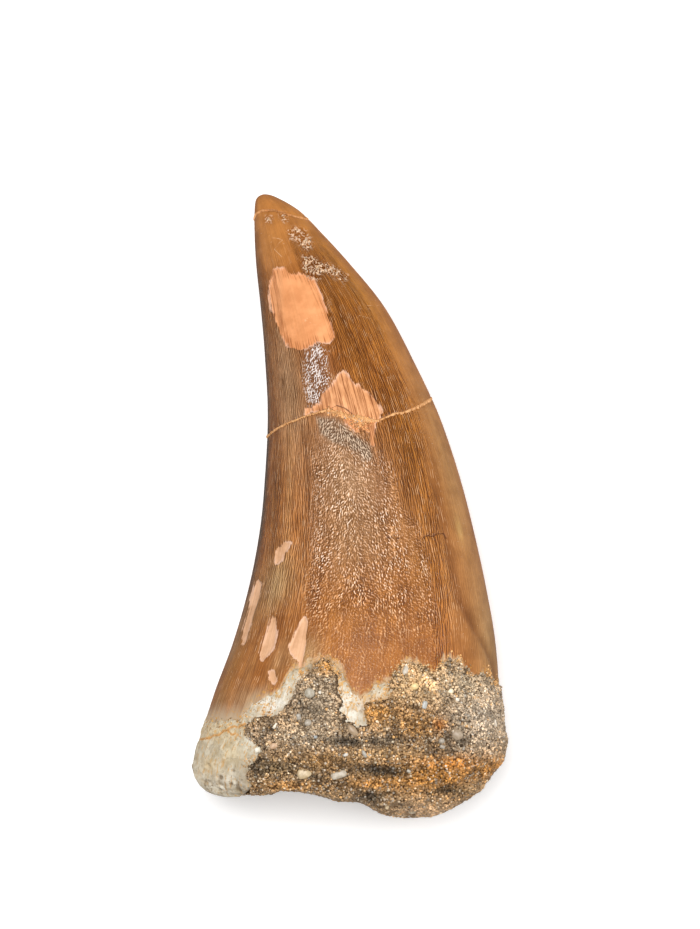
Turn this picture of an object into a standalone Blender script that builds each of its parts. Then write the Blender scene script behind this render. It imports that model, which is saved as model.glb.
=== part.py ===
"""A fossil mosasaurus tooth lying on its side, with a crust of cemented sand on its base.

The length runs along Y, tip at +Y. The convex front edge is at +X and the broad face looks up.
The origin is under the middle of the bounding box, on the surface that the tooth rests on.
"""

import math

import bmesh
import bpy
import numpy as np

MM = 0.001

# Driving dimensions
LENGTH = 75.0 * MM
TIP_Y = LENGTH / 2
GAP = 0.3 * MM
RING_POINTS = 40
TOOTH_RINGS = 44
MATRIX_RINGS = 30

# The tooth's cross sections, in millimetres: depth below the tip, the left and right edges' x, the height of
# those edges, and how far the section rises above and drops below that height
TOOTH_SECTIONS = (
    (0.0, -10.3, -10.3, 1.80, 0.0, 0.0),
    (0.6, -11.3, -8.4, 1.85, 1.2, 1.1),
    (2.0, -11.5, -6.1, 2.00, 2.1, 1.9),
    (4.6, -11.5, -3.5, 2.70, 3.2, 2.6),
    (8.5, -11.3, 0.0, 3.90, 4.3, 3.6),
    (14.0, -10.8, 4.3, 5.30, 5.7, 4.8),
    (20.0, -10.3, 7.5, 6.70, 6.8, 5.9),
    (27.0, -9.95, 10.75, 8.10, 7.9, 7.0),
    (34.0, -10.25, 13.1, 9.30, 8.9, 7.9),
    (41.0, -10.9, 14.95, 10.40, 9.8, 8.8),
    (48.0, -12.25, 16.5, 11.40, 10.6, 9.6),
    (54.0, -14.0, 17.5, 12.10, 11.2, 10.2),
    (60.0, -16.3, 17.8, 12.60, 11.5, 10.6),
    (65.0, -17.9, 17.2, 12.90, 11.4, 10.8),
    (69.0, -18.85, 15.8, 13.00, 10.8, 10.4),
    (71.4, -18.6, 13.6, 13.00, 9.9, 9.4),
    (72.4, -17.6, 11.6, 13.00, 8.4, 7.9),
)
ROOT_END_DEPTH = 72.8 * MM

# The crust's outer lump, in millimetres, before the tooth is taken out of it: depth below the tip, edges,
# edge height, rise and drop
MATRIX_SECTIONS = (
    (54.4, 3.0, 3.0, 12.5, 0.0, 0.0),
    (55.0, -7.0, 12.5, 12.5, 7.5, 7.5),
    (56.6, -12.2, 16.6, 12.5, 11.2, 10.4),
    (58.6, -14.4, 18.1, 12.6, 12.0, 11.6),
    (60.6, -15.6, 18.3, 12.7, 12.3, 12.8),
    (63.0, -17.0, 18.5, 12.8, 12.5, 14.2),
    (66.0, -17.2, 18.85, 12.9, 12.5, 14.6),
    (69.0, -16.6, 17.7, 12.9, 12.0, 14.4),
    (71.2, -13.6, 16.0, 12.7, 10.8, 13.5),
    (72.6, -5.0, 14.6, 12.3, 9.4, 12.6),
    (73.8, 1.4, 12.6, 11.6, 7.4, 10.2),
    (74.6, 4.0, 10.6, 11.0, 4.4, 6.6),
    (75.0, 7.3, 7.3, 10.6, 0.0, 0.0),
)
CRUST_LUMP_SIZE = 3.2 * MM
CRUST_LUMP_HEIGHT = 0.9 * MM

FLOOR_BLOCK = 100.0 * MM

TOOTH_COLOUR = (0.42, 0.19, 0.07, 1.0)
MATRIX_COLOUR = (0.33, 0.25, 0.17, 1.0)


def smooth_curve(knots, values, at):
    """Cubic pieces through the values at the knots, each knot's slope taken from its neighbours."""
    slopes = np.gradient(values, knots, axis=0)
    piece = np.clip(np.searchsorted(knots, at, side="right") - 1, 0, len(knots) - 2)
    span = (knots[piece + 1] - knots[piece])[:, None]
    t = (at - knots[piece])[:, None] / span
    first, last = values[piece], values[piece + 1]
    leave, arrive = slopes[piece] * span, slopes[piece + 1] * span
    return (
        first * (1 + 2 * t) * (1 - t) ** 2
        + last * t**2 * (3 - 2 * t)
        + leave * t * (1 - t) ** 2
        - arrive * t**2 * (1 - t)
    )


def section_rings(sections, positions, grow=0.0):
    """Rings of points, each two half ellipses that meet at the left and right edges."""
    left, right, height, rise, drop = sections.T[:, :, None]
    turn = np.arange(RING_POINTS) * 2 * math.pi / RING_POINTS
    x = (left + right) / 2 + ((right - left) / 2 + grow) * np.cos(turn)
    reach = np.where(np.sin(turn) > 0, rise, drop) + grow
    z = height + reach * np.sin(turn)
    y = np.broadcast_to(positions[:, None], x.shape)
    return np.stack((x, y, z), axis=2)


def loft(name, rings, first_pole, last_pole):
    """A closed mesh that joins the rings in order and ends in a point at each end."""
    points = [tuple(p) for p in rings.reshape(-1, 3)] + [tuple(first_pole), tuple(last_pole)]
    count, around = rings.shape[:2]
    start, end = count * around, count * around + 1
    faces = []
    for j in range(around):
        k = (j + 1) % around
        faces.append((start, k, j))
        faces.append((end, (count - 1) * around + j, (count - 1) * around + k))
        for i in range(count - 1):
            faces.append((i * around + j, i * around + k, (i + 1) * around + k, (i + 1) * around + j))
    mesh = bpy.data.meshes.new(name)
    mesh.from_pydata(points, [], faces)
    shape = bmesh.new()
    shape.from_mesh(mesh)
    bmesh.ops.recalc_face_normals(shape, faces=shape.faces)
    shape.to_mesh(mesh)
    shape.free()
    mesh.shade_smooth()
    return bpy.data.objects.new(name, mesh)


def tooth_shape(name, grow=0.0):
    """The crown and root as one loft. Its rings are spread by the square root of depth, which rounds the tip."""
    table = np.array(TOOTH_SECTIONS) * MM
    knots = np.sqrt(table[:, 0])
    at = np.linspace(0, knots[-1], TOOTH_RINGS + 1)[1:]
    rings = section_rings(smooth_curve(knots, table[:, 1:], at), TIP_Y - at**2, grow)
    tip = np.array((table[0, 1], TIP_Y + grow, table[0, 3]))
    root_end = np.array((rings[-1, :, 0].mean(), TIP_Y - ROOT_END_DEPTH - grow, rings[-1, :, 2].mean()))
    return loft(name, rings, tip, root_end)


def matrix_lump(name):
    """The crust's outer lump as one loft, its rings evenly spread from section to section."""
    table = np.array(MATRIX_SECTIONS) * MM
    knots = np.arange(len(table), dtype=float)
    at = np.linspace(0, knots[-1], MATRIX_RINGS + 2)[1:-1]
    values = smooth_curve(knots, table, at)
    rings = section_rings(values[:, 1:], TIP_Y - values[:, 0])
    ends = [np.array((table[i, 1], TIP_Y - table[i, 0], table[i, 3])) for i in (0, -1)]
    return loft(name, rings, *ends)


def floor_block(name):
    """A block whose top is the surface that the tooth rests on."""
    mesh = bpy.data.meshes.new(name)
    shape = bmesh.new()
    bmesh.ops.create_cube(shape, size=FLOOR_BLOCK)
    bmesh.ops.translate(shape, verts=shape.verts, vec=(0, 0, -FLOOR_BLOCK / 2))
    shape.to_mesh(mesh)
    shape.free()
    return bpy.data.objects.new(name, mesh)


def roughen(crust):
    """Uneven lumps over the crust, as sand breaks."""
    lumps = bpy.data.textures.new("crust_lumps", "CLOUDS")
    lumps.noise_scale = CRUST_LUMP_SIZE
    modifier = crust.modifiers.new("lumps", "DISPLACE")
    modifier.texture = lumps
    modifier.texture_coords = "LOCAL"
    modifier.strength = CRUST_LUMP_HEIGHT
    modifier.mid_level = 0.5


def cut_with(body, cutter):
    modifier = body.modifiers.new("cut_by_" + cutter.name, "BOOLEAN")
    modifier.operation = "DIFFERENCE"
    modifier.solver = "EXACT"
    modifier.object = cutter


def material(name, colour, roughness):
    made = bpy.data.materials.new(name)
    made.use_nodes = True
    shader = made.node_tree.nodes["Principled BSDF"]
    shader.inputs["Base Color"].default_value = colour
    shader.inputs["Roughness"].default_value = roughness
    shader.inputs["Metallic"].default_value = 0.0
    return made


def new_collection(name):
    made = bpy.data.collections.new(name)
    bpy.context.scene.collection.children.link(made)
    return made


def main():
    for old in list(bpy.data.objects):
        bpy.data.objects.remove(old, do_unlink=True)
    parts = new_collection("mosasaurus_tooth")
    cutters = new_collection("cutters")

    tooth = tooth_shape("tooth")
    tooth.data.materials.append(material("tooth_enamel", TOOTH_COLOUR, 0.35))

    matrix = matrix_lump("matrix")
    matrix.data.materials.append(material("sand_matrix", MATRIX_COLOUR, 0.9))
    roughen(matrix)
    socket = tooth_shape("tooth_socket", GAP)
    floor = floor_block("resting_surface")
    cut_with(matrix, socket)
    cut_with(matrix, floor)

    for part in (tooth, matrix):
        parts.objects.link(part)
    for cutter in (socket, floor):
        cutter.hide_render = True
        cutter.display_type = "WIRE"
        cutters.objects.link(cutter)


main()
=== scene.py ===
import math

import bpy
import numpy as np
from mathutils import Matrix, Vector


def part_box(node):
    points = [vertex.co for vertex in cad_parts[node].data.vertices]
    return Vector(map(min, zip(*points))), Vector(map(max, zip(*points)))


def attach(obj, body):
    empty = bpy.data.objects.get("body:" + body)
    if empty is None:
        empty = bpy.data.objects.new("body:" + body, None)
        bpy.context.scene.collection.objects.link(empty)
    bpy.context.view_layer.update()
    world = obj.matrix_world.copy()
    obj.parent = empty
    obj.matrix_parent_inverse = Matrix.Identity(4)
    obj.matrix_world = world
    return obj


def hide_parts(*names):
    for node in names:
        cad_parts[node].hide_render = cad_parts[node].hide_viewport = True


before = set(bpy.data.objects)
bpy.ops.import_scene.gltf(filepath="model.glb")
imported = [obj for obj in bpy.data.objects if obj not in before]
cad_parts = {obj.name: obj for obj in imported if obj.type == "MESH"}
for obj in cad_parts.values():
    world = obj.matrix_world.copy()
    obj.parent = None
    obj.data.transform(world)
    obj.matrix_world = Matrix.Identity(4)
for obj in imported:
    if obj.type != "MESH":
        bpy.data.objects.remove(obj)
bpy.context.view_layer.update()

# The crown is one curved cone of dentine under a skin of glossy brown enamel. It broke twice, just below
# the tip and at mid height, and was glued, so its three lengths are three surfaces that meet at the
# breaks. Its enamel has fine ridges towards the front edge, a leathery grain up the middle, and flakes
# missing that bare peach dentine.

MM = 0.001
TIP_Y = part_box("tooth")[1][1] / MM

# The sections in millimetres: depth below the tip, left and right edge, height of the edges, rise above,
# drop below
TOOTH_SECTIONS = np.array((
    (0.0, -10.3, -10.3, 1.80, 0.0, 0.0),
    (0.6, -11.3, -8.4, 1.85, 1.2, 1.1),
    (2.0, -11.5, -6.1, 2.00, 2.1, 1.9),
    (4.6, -11.5, -3.5, 2.70, 3.2, 2.6),
    (8.5, -11.3, 0.0, 3.90, 4.3, 3.6),
    (14.0, -10.8, 4.3, 5.30, 5.7, 4.8),
    (20.0, -10.3, 7.5, 6.70, 6.8, 5.9),
    (27.0, -9.95, 10.75, 8.10, 7.9, 7.0),
    (34.0, -10.25, 13.1, 9.30, 8.9, 7.9),
    (41.0, -10.9, 14.95, 10.40, 9.8, 8.8),
    (48.0, -12.25, 16.5, 11.40, 10.6, 9.6),
    (54.0, -14.0, 17.5, 12.10, 11.2, 10.2),
    (60.0, -16.3, 17.8, 12.60, 11.5, 10.6),
    (65.0, -17.9, 17.2, 12.90, 11.4, 10.8),
    (69.0, -18.85, 15.8, 13.00, 10.8, 10.4),
    (71.4, -18.6, 13.6, 13.00, 9.9, 9.4),
    (72.4, -17.6, 11.6, 13.00, 8.4, 7.9),
))

# Lines round the crown: turn in degrees and depth. 0 is the front edge, 90 the middle of the upper face
TIP_BREAK = ((0, 2.9), (25, 3.0), (70, 2.45), (95, 1.95), (130, 1.95), (160, 2.4), (180, 3.0), (230, 3.5),
             (300, 2.6))
MIDDLE_BREAK = ((0, 24.6), (22, 25.0), (54, 26.4), (61, 26.5), (74, 27.35), (90, 27.0), (107, 26.05),
                (123, 26.75), (149, 28.1), (168, 29.05), (180, 29.3), (215, 28.3), (262, 26.2),
                (310, 25.6))

# The enamel's lower edge, as x and y, on the upper face and the underside
UPPER_EDGE = ((-18.5, -25.6), (-17.4, -25.7), (-16.2, -25.4), (-14.9, -25.4), (-13.2, -25.3),
              (-12.1, -24.0), (-9.8, -22.7), (-8.4, -21.7), (-7.4, -19.9), (-6.0, -19.3), (-4.6, -18.8),
              (-3.6, -18.2), (-2.4, -18.5), (-1.2, -19.5), (-0.4, -20.8), (0.2, -22.1), (1.2, -22.9),
              (2.3, -22.5), (3.0, -21.4), (4.2, -21.1), (5.0, -21.5), (5.4, -20.9), (5.8, -19.3),
              (7.0, -19.0), (9.2, -19.4), (10.0, -20.5), (10.9, -18.8), (12.1, -18.3), (13.6, -19.5),
              (14.6, -20.5), (16.2, -20.1), (17.5, -21.7))
UNDER_EDGE = ((-18.5, -25.6), (-17.0, -25.0), (-14.0, -24.6), (-11.0, -22.8), (-8.0, -23.6),
              (-5.0, -20.4), (-2.0, -19.2), (0.5, -21.8), (3.5, -22.6), (6.0, -19.9), (9.0, -18.9),
              (12.0, -20.8), (15.0, -20.2), (17.5, -21.7))

# Outlines on the faces, as x and y: flakes, a glittering streak whose sparkle is painted, pitted scabs and
# a grey smear
UPPER_FLAKE = ((-9.4, 28.5), (-7.8, 28.7), (-7.0, 28.0), (-5.5, 27.8), (-4.2, 27.4), (-3.6, 25.9),
               (-2.8, 23.7), (-2.3, 22.3), (-1.7, 20.3), (-2.5, 19.4), (-3.8, 19.7), (-5.0, 18.9),
               (-6.1, 18.5), (-7.4, 19.0), (-8.5, 20.6), (-9.0, 22.0), (-9.4, 23.3), (-9.7, 24.7),
               (-9.8, 25.9), (-9.6, 27.3))
MIDDLE_FLAKE = ((-0.8, 16.3), (0.5, 14.8), (1.9, 13.9), (3.2, 12.9), (4.0, 11.2), (3.6, 10.3), (3.1, 9.9),
                (3.1, 8.6), (3.0, 7.1), (2.4, 7.1), (2.3, 8.7), (1.4, 8.9), (0.7, 8.7), (-0.6, 9.9),
                (-1.2, 11.0), (-2.8, 11.4), (-5.3, 11.0), (-5.3, 11.7), (-3.6, 12.4), (-3.4, 13.6),
                (-2.4, 14.1), (-1.9, 15.1), (-1.4, 16.0))
LEFT_CHIPS = (
    ((-8.0, -4.4), (-7.3, -4.5), (-7.6, -5.2), (-8.0, -5.7), (-8.3, -6.5), (-8.8, -6.8), (-9.0, -6.1),
     (-8.8, -5.2)),
    ((-11.2, -8.9), (-10.8, -9.3), (-11.0, -10.9), (-11.5, -12.5), (-12.2, -14.5), (-12.8, -16.4),
     (-13.2, -16.6), (-13.0, -15.2), (-12.4, -12.8), (-11.8, -10.6)),
    ((-9.4, -13.1), (-8.9, -13.5), (-9.0, -14.9), (-9.2, -16.6), (-9.8, -17.6), (-10.4, -18.3),
     (-10.8, -17.6), (-10.3, -16.4), (-9.8, -14.7)),
    ((-9.6, -19.8), (-9.1, -19.9), (-8.8, -20.7), (-9.0, -21.1), (-9.5, -20.7)),
    ((-5.5, -13.4), (-5.2, -14.0), (-5.3, -16.1), (-5.6, -17.3), (-5.8, -20.1), (-6.1, -18.5),
     (-6.7, -17.6), (-7.2, -16.9), (-6.6, -15.7), (-6.0, -14.2)),
)
UNDER_FLAKES = (
    ((-4.0, 19.0), (-2.0, 20.2), (0.2, 18.1), (1.0, 14.0), (0.1, 11.0), (-1.6, 10.2), (-3.2, 13.2)),
    ((6.4, -3.0), (7.6, -4.4), (7.9, -9.6), (7.0, -13.0), (6.0, -9.0)),
    ((-6.8, 2.0), (-5.9, 0.6), (-6.4, -4.6), (-7.2, -2.2)),
)
GLITTER_FIELD = ((-4.6, 19.3), (-3.4, 19.5), (-2.6, 18.4), (-2.9, 16.7), (-2.4, 15.3), (-2.9, 13.9),
                 (-3.8, 12.2), (-5.0, 12.2), (-5.5, 13.9), (-5.6, 16.0), (-5.4, 18.2))
PITTED_FIELDS = (
    ((-7.4, 33.1), (-6.6, 33.4), (-5.5, 33.1), (-4.8, 32.1), (-4.6, 31.1), (-5.3, 30.7), (-6.0, 31.4),
     (-7.1, 32.1)),
    ((-5.6, 29.9), (-4.6, 29.9), (-3.4, 29.2), (-1.8, 28.7), (-0.2, 27.5), (-0.7, 26.9), (-2.4, 27.9),
     (-3.4, 28.0), (-3.8, 27.1), (-4.8, 27.3), (-5.5, 28.5)),
    ((-8.4, 35.0), (-7.9, 35.1), (-7.6, 34.4), (-7.9, 34.2)),
    ((-10.1, 34.7), (-9.5, 34.7), (-9.6, 34.2), (-10.0, 34.2)),
)
GREY_SMEAR = ((-4.0, 10.6), (-1.5, 10.4), (0.4, 8.6), (2.3, 7.4), (2.9, 5.6), (1.6, 5.2), (0.0, 6.8),
              (-2.2, 7.6), (-3.6, 8.6))

# Open lines on the upper face, as x and y: dark cracks, and pale scratches no wider than a hair
CRACKS = (
    ((-2.8, 11.5), (-1.6, 12.05), (-0.6, 11.7), (0.1, 11.2), (0.4, 10.7)),
    ((4.4, -3.8), (5.6, -3.9), (6.2, -3.8)),
    ((8.7, -3.9), (9.2, -3.55), (9.9, -3.65), (10.5, -3.35), (11.3, -3.3), (11.6, -3.9)),
)
SCRATCHES = (
    ((0.8, -3.7), (1.1, -8.3), (1.3, -13.0)),
    ((-7.9, 2.3), (-8.0, -2.6)),
    ((-5.5, 0.1), (-5.6, -3.5), (-5.7, -6.5)),
    ((-4.1, -5.0), (-4.4, -8.3), (-4.6, -11.3)),
    ((-9.4, 32.2), (-8.6, 32.1), (-8.1, 31.9), (-8.5, 31.6), (-9.1, 30.8), (-8.2, 29.9)),
    ((2.0, 24.0), (3.6, 24.0)),
    ((1.2, 23.6), (2.4, 23.6)),
    ((0.8, 22.4), (1.1, 22.8), (1.8, 22.6), (2.9, 22.3)),
    ((-5.5, 22.4), (-4.4, 22.8), (-3.3, 23.0), (-2.5, 22.6), (-3.0, 21.9), (-4.1, 21.7), (-5.2, 22.2),
     (-5.5, 22.4)),
    ((-6.3, 20.9), (-5.9, 21.8), (-5.4, 22.2)),
)

RIDGE_COUNT = 130
RIDGE_HEIGHT = 0.035
GRAIN_WAVES = 200
GRAIN_HEIGHT = 0.02
SWELL_HEIGHT = 0.10
GROOVE_DEPTH = 0.10
FLAKE_DEPTH = 0.16
PIT_DEPTH = 0.05
CRACK_DEPTH = 0.12
BREAK_DEPTH = 0.14
BREAK_WIDTH = 0.16
NO_LINE_NEAR = 2.0
TIP_START_DEPTH = 0.0004


def smooth_curve(knots, values, at):
    """Cubic pieces through the values at the knots, each knot's slope taken from its neighbours."""
    slopes = np.gradient(values, knots, axis=0)
    piece = np.clip(np.searchsorted(knots, at, side="right") - 1, 0, len(knots) - 2)
    span = (knots[piece + 1] - knots[piece])[..., None]
    t = (at - knots[piece])[..., None] / span
    rest = values[piece] * (1 + 2 * t) * (1 - t) ** 2 + values[piece + 1] * t**2 * (3 - 2 * t)
    return rest + slopes[piece] * span * t * (1 - t) ** 2 - slopes[piece + 1] * span * t**2 * (1 - t)


def section_point(edges, turn, y):
    """Two half ellipses that meet at the left and right edges: x is the middle plus half the width times
    the cosine of the turn, z is the edges' height plus the rise or the drop times its sine."""
    left, right, height, rise, drop = np.moveaxis(edges, -1, 0)
    x = (left + right) / 2 + (right - left) / 2 * np.cos(turn)
    z = height + np.where(np.sin(turn) > 0, rise, drop) * np.sin(turn)
    return np.stack((x, y, z), -1)


def tooth_point(turn, root_depth):
    """The smooth tooth at a turn round its section and the square root of a depth below the tip."""
    edges = smooth_curve(np.sqrt(TOOTH_SECTIONS[:, 0]), TOOTH_SECTIONS[:, 1:], root_depth)
    return section_point(edges, turn, TIP_Y - root_depth**2)


def outward(surface, turn, along, step=0.01):
    """The unit normal: the cross product of the surface's changes over a small step each way."""
    across = surface(turn + step, along) - surface(turn - step, along)
    down = surface(turn, along + step) - surface(turn, along - step)
    normal = np.cross(across, down)
    return normal / np.linalg.norm(normal, axis=-1, keepdims=True)


def ease(value, low, high):
    """0 below low and 1 above high, with a smooth step between them."""
    t = np.clip((value - low) / (high - low), 0, 1)
    return t * t * (3 - 2 * t)


def band(value, low, high, soft):
    """1 between low and high, and falling to 0 over the soft width outside each."""
    return ease(value, low - soft, low) * (1 - ease(value, high, high + soft))


def waves(x, y, seed, wrap=256):
    """Smooth random heights from -1 to 1, blended between values at whole numbers. x repeats."""
    lattice = np.random.default_rng(seed).uniform(-1, 1, (wrap, 256))
    i, j = np.floor(x).astype(int), np.floor(y).astype(int)
    u, v = ease(x - i, 0, 1), ease(y - j, 0, 1)
    i, j, right, above = i % wrap, j % 256, (i + 1) % wrap, (j + 1) % 256
    lower = lattice[i, j] * (1 - u) + lattice[right, j] * u
    upper = lattice[i, above] * (1 - u) + lattice[right, above] * u
    return lower * (1 - v) + upper * v


def round_waves(turn, depth, often, along, seed):
    """Waves that close round the tooth: often of them in a turn, and along of them in a millimetre."""
    return waves(np.degrees(turn) % 360 / 360 * often, depth * along, seed, often)


def to_side(start, end, x, y):
    """The distance to a straight stretch between two points."""
    dx, dy = end[0] - start[0], end[1] - start[1]
    t = np.clip(((x - start[0]) * dx + (y - start[1]) * dy) / (dx * dx + dy * dy), 0, 1)
    return np.hypot(x - start[0] - t * dx, y - start[1] - t * dy)


def to_paths(paths, x, y):
    """The least distance to any of the open paths."""
    return np.min([to_side(a, b, x, y) for path in paths for a, b in zip(path, path[1:])], axis=0)


def inside(outline, x, y):
    """Distance in from a closed outline, positive inside: the least distance to its sides, with the sign
    from how many sides lie to the right."""
    sides = tuple(zip(outline, outline[1:] + outline[:1]))
    within = np.zeros(x.shape, bool)
    for (ax, ay), (bx, by) in sides:
        if by != ay:
            within ^= ((ay > y) != (by > y)) & (x < ax + (bx - ax) * (y - ay) / (by - ay))
    nearest = np.min([to_side(a, b, x, y) for a, b in sides], axis=0)
    return np.where(within, nearest, -nearest)


def round_the_tooth(points, turn):
    """A value given at a few turns in degrees, joined by straight lines all the way round."""
    degrees, values = np.array(points).T
    return np.interp(np.degrees(turn) % 360, degrees, values, period=360)


def on_faces(top, under, x, y, turn):
    """How far inside any of the outlines: the first ones on the upper face, the others on the underside.
    Nothing reaches over the two edges, where one face turns into the other."""
    above = np.max([inside(outline, x, y) for outline in top], axis=0)
    below = np.max([inside(outline, x, y) for outline in under], axis=0)
    edge = 3 * (1 - ease(np.abs(np.sin(turn)), 0.05, 0.25))
    return np.where(np.sin(turn) > 0, above, below) - edge


def edge_depth(turn):
    """The depth of the enamel's lower edge, found by stepping towards the line's y at the tooth's own x,
    and made ragged by two sizes of waves."""
    depth = np.full(turn.shape, 60.0)
    for _ in range(12):
        x = tooth_point(turn, np.sqrt(depth))[..., 0]
        above, below = (np.interp(x, *np.array(line).T) for line in (UPPER_EDGE, UNDER_EDGE))
        depth += 0.5 * (TIP_Y - np.where(np.sin(turn) > 0, above, below) - depth)
    return depth + 0.3 * round_waves(turn, depth, 216, 0, 11) + 0.2 * round_waves(turn, depth, 720, 0, 12)


def linear(red, green, blue):
    """A screen colour from 0 to 255 as the linear light that a shader takes."""
    values = np.array((red, green, blue)) / 255
    return np.where(values <= 0.04045, values / 12.92, ((values + 0.055) / 1.055) ** 2.4)


# Clouds of colour in the enamel: turn in degrees and depth of the middle, half widths of both, colour,
# strength
ENAMEL_GROUND = linear(162, 98, 42)
ENAMEL_CLOUDS = (
    (100, 2, 180, 5, (173, 111, 52), 0.9),
    (130, 6, 40, 3, (184, 122, 62), 0.7),
    (41, 11, 24, 8, (172, 111, 40), 0.9),
    (24, 34, 20, 15, (160, 114, 65), 0.95),
    (16, 54, 20, 9, (154, 116, 72), 0.9),
    (44, 46, 6, 7, (182, 128, 78), 0.6),
    (30, 40.2, 3.2, 1.3, (194, 156, 92), 0.5),
    (76, 15, 14, 11, (142, 90, 36), 0.6),
    (58, 30, 16, 9, (134, 82, 24), 0.75),
    (60, 43, 15, 8, (160, 103, 44), 0.7),
    (98, 34, 22, 7, (174, 136, 104), 0.85),
    (96, 42, 26, 8, (160, 118, 80), 0.75),
    (90, 50, 28, 5, (148, 90, 36), 0.8),
    (136, 23, 18, 10, (162, 126, 94), 0.85),
    (152, 36, 8, 8, (118, 76, 40), 0.75),
    (138, 36, 3, 8, (190, 138, 88), 0.6),
    # The next three clouds darken the left edge, where it turns away from the light: painted shade.
    (164, 15, 14, 12, (110, 76, 48), 0.8),
    (173, 35, 9, 20, (54, 49, 42), 0.95),
    (181, 16, 7, 13, (58, 46, 36), 0.85),
    (141, 47, 12, 4, (171, 138, 96), 0.85),
    (160, 50, 9, 4, (152, 117, 76), 0.8),
    (108, 21, 12, 6, (122, 80, 54), 0.85),
    (104, 29, 11, 2, (150, 112, 82), 0.7),
    (88, 57, 40, 4, (154, 92, 30), 0.9),
    (134, 53, 6, 4, (142, 84, 36), 0.85),
    (160, 57, 9, 4.5, (150, 98, 42), 0.95),
    (168, 54, 5, 3, (156, 118, 78), 0.6),
    (144, 57, 5, 3.5, (156, 108, 62), 0.6),
    (128, 56, 5, 3, (174, 132, 90), 0.6),
    (116, 55, 7, 2, (176, 140, 98), 0.7),
    (138, 60.5, 12, 1.5, (170, 134, 98), 0.8),
    (162, 61, 9, 1.5, (142, 104, 62), 0.7),
)


def stained(ground, clouds, across, along):
    """Oval clouds of colour laid over the ground in turn. Each one's share falls off as a bell curve."""
    colour = np.broadcast_to(ground, across.shape + (3,))
    for at_across, at_along, wide, deep, tint, strength in clouds:
        share = strength * np.exp(-(((across - at_across) / wide) ** 2) - ((along - at_along) / deep) ** 2)
        colour = colour * (1 - share[..., None]) + linear(*tint) * share[..., None]
    return colour


def enamel_relief(turn, depth, x, y):
    """How high the enamel stands in millimetres, as the sum of its ridges, grain and swells less its
    groove, flakes, pits, cracks and breaks, with how much of each kind of surface lies at each point.
    Side is the turn away from the front edge, alike above and below."""
    degrees = np.degrees(turn) % 360
    side = np.where(degrees > 180, 360 - degrees, degrees)
    on_top = np.sin(turn) > 0
    chipped = ease(depth, 35, 38)
    ridge = round_waves(turn, depth, RIDGE_COUNT, 0.3, 3)
    flake = on_faces((UPPER_FLAKE, MIDDLE_FLAKE) + LEFT_CHIPS, UNDER_FLAKES, x, y, turn) + 0.14 * ridge
    flake += 0.2 * chipped * (1 - 0.7 * ease(side, 158, 162))
    glitter = ease(on_faces((GLITTER_FIELD,), UNDER_FLAKES[:1], x, y, turn), -0.5, 0.4)
    pitted = ease(on_faces(PITTED_FIELDS, UNDER_FLAKES[2:], x, y, turn), -0.5, 0.2)
    smear = ease(on_faces((GREY_SMEAR,), UNDER_FLAKES[1:2], x, y, turn), -0.3, 0.4)

    last_wrinkle = np.interp(depth, (28, 34, 40, 46, 54), (84, 76, 66, 58, 54))
    wandering = side + 5 * round_waves(turn, depth, 40, 0.3, 13)
    ridged = band(wandering, 50, last_wrinkle, 8) * band(depth, 13, 57, 5)
    left_band = 0.9 * band(side, 119, 168, 8) * ease(depth, 6, 14) * (1 - 0.85 * ease(depth, 44, 56))
    streaked = np.max((ridged, band(side, 44, 92, 8) * band(depth, 8, 29, 4), left_band), axis=0)
    leathery = band(wandering, last_wrinkle + 4, 116, 9)
    leathery *= np.interp(depth, (27.5, 30.5, 49, 53, 60), (0, 1, 1, 0.5, 0.35))
    leathery *= 0.85 + 0.15 * round_waves(turn, depth, 60, 0.25, 14)
    leathery = np.max((leathery, 0.65 * glitter, 0.7 * smear), axis=0)
    fibrous = ease(side, 34, 46) * ease(depth, 3, 13)
    fibrous *= 1 - ease(depth, 50, 57) * (1 - ease(side, 118, 130))

    flank_line = np.interp(depth, (8, 13, 19, 48, 53, 56, 60), (63, 54, 43.5, 43.5, 30, 18, 8))
    groove_reach = np.where(side < flank_line, 5.5, 2.8)
    groove = np.exp(-(((side - flank_line) / groove_reach) ** 2)) * ease(depth, 26, 40)
    cracks = np.where(on_top, to_paths(CRACKS, x, y), NO_LINE_NEAR)
    scratches = np.where(on_top, to_paths(SCRATCHES, x, y), NO_LINE_NEAR)
    bare = ease(flake, -0.05, 0.3)
    skin_left = edge_depth(turn) - depth
    height = (
        RIDGE_HEIGHT * ridge * (0.2 + ridged) * (1 - bare)
        + GRAIN_HEIGHT * round_waves(turn, depth, GRAIN_WAVES, 2.2, 5) * leathery
        + SWELL_HEIGHT * round_waves(turn, depth, 14, 0.06, 7) * ease(depth, 4, 12)
        - GROOVE_DEPTH * groove
        - FLAKE_DEPTH * bare
        - FLAKE_DEPTH * (1 - ease(skin_left, 0, 0.5)) * (1 - 0.7 * ease(side, 125, 140))
        - PIT_DEPTH * pitted * (0.5 + waves(degrees * 0.4, depth * 3.5, 9))
        - CRACK_DEPTH * (1 - ease(cracks, 0.02, 0.2))
    )
    for line in (TIP_BREAK, MIDDLE_BREAK):
        height -= BREAK_DEPTH * np.exp(-(((depth - round_the_tooth(line, turn)) / BREAK_WIDTH) ** 2))
    marks = {
        "ridge": ridge, "ridged": ridged, "streaked": streaked, "leathery": leathery, "fibrous": fibrous,
        "groove": groove, "flake": flake, "chipped": chipped, "skin_left": skin_left,
        "lined": np.maximum(band(depth, 20, 35, 1), 0.55 * ease(-x, 7.9, 8.7) * (depth < 20)),
        # The glitter streak's painted sparkle is stronger on its left side.
        "glitter": glitter, "sparkle_lean": glitter * np.interp(x, (-3.9, -2.9), (1.0, 0.45)),
        "pitted": pitted, "smear": smear, "cracks": np.minimum(cracks, NO_LINE_NEAR),
        "scratches": np.minimum(scratches, NO_LINE_NEAR),
        "lean": ease(side + 4 * waves(depth * 0.4, side * 0, 15), 92, 108),
        "fading": ease(side, 126, 140), "stain": stained(ENAMEL_GROUND, ENAMEL_CLOUDS, side, depth),
    }
    return height, marks


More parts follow.
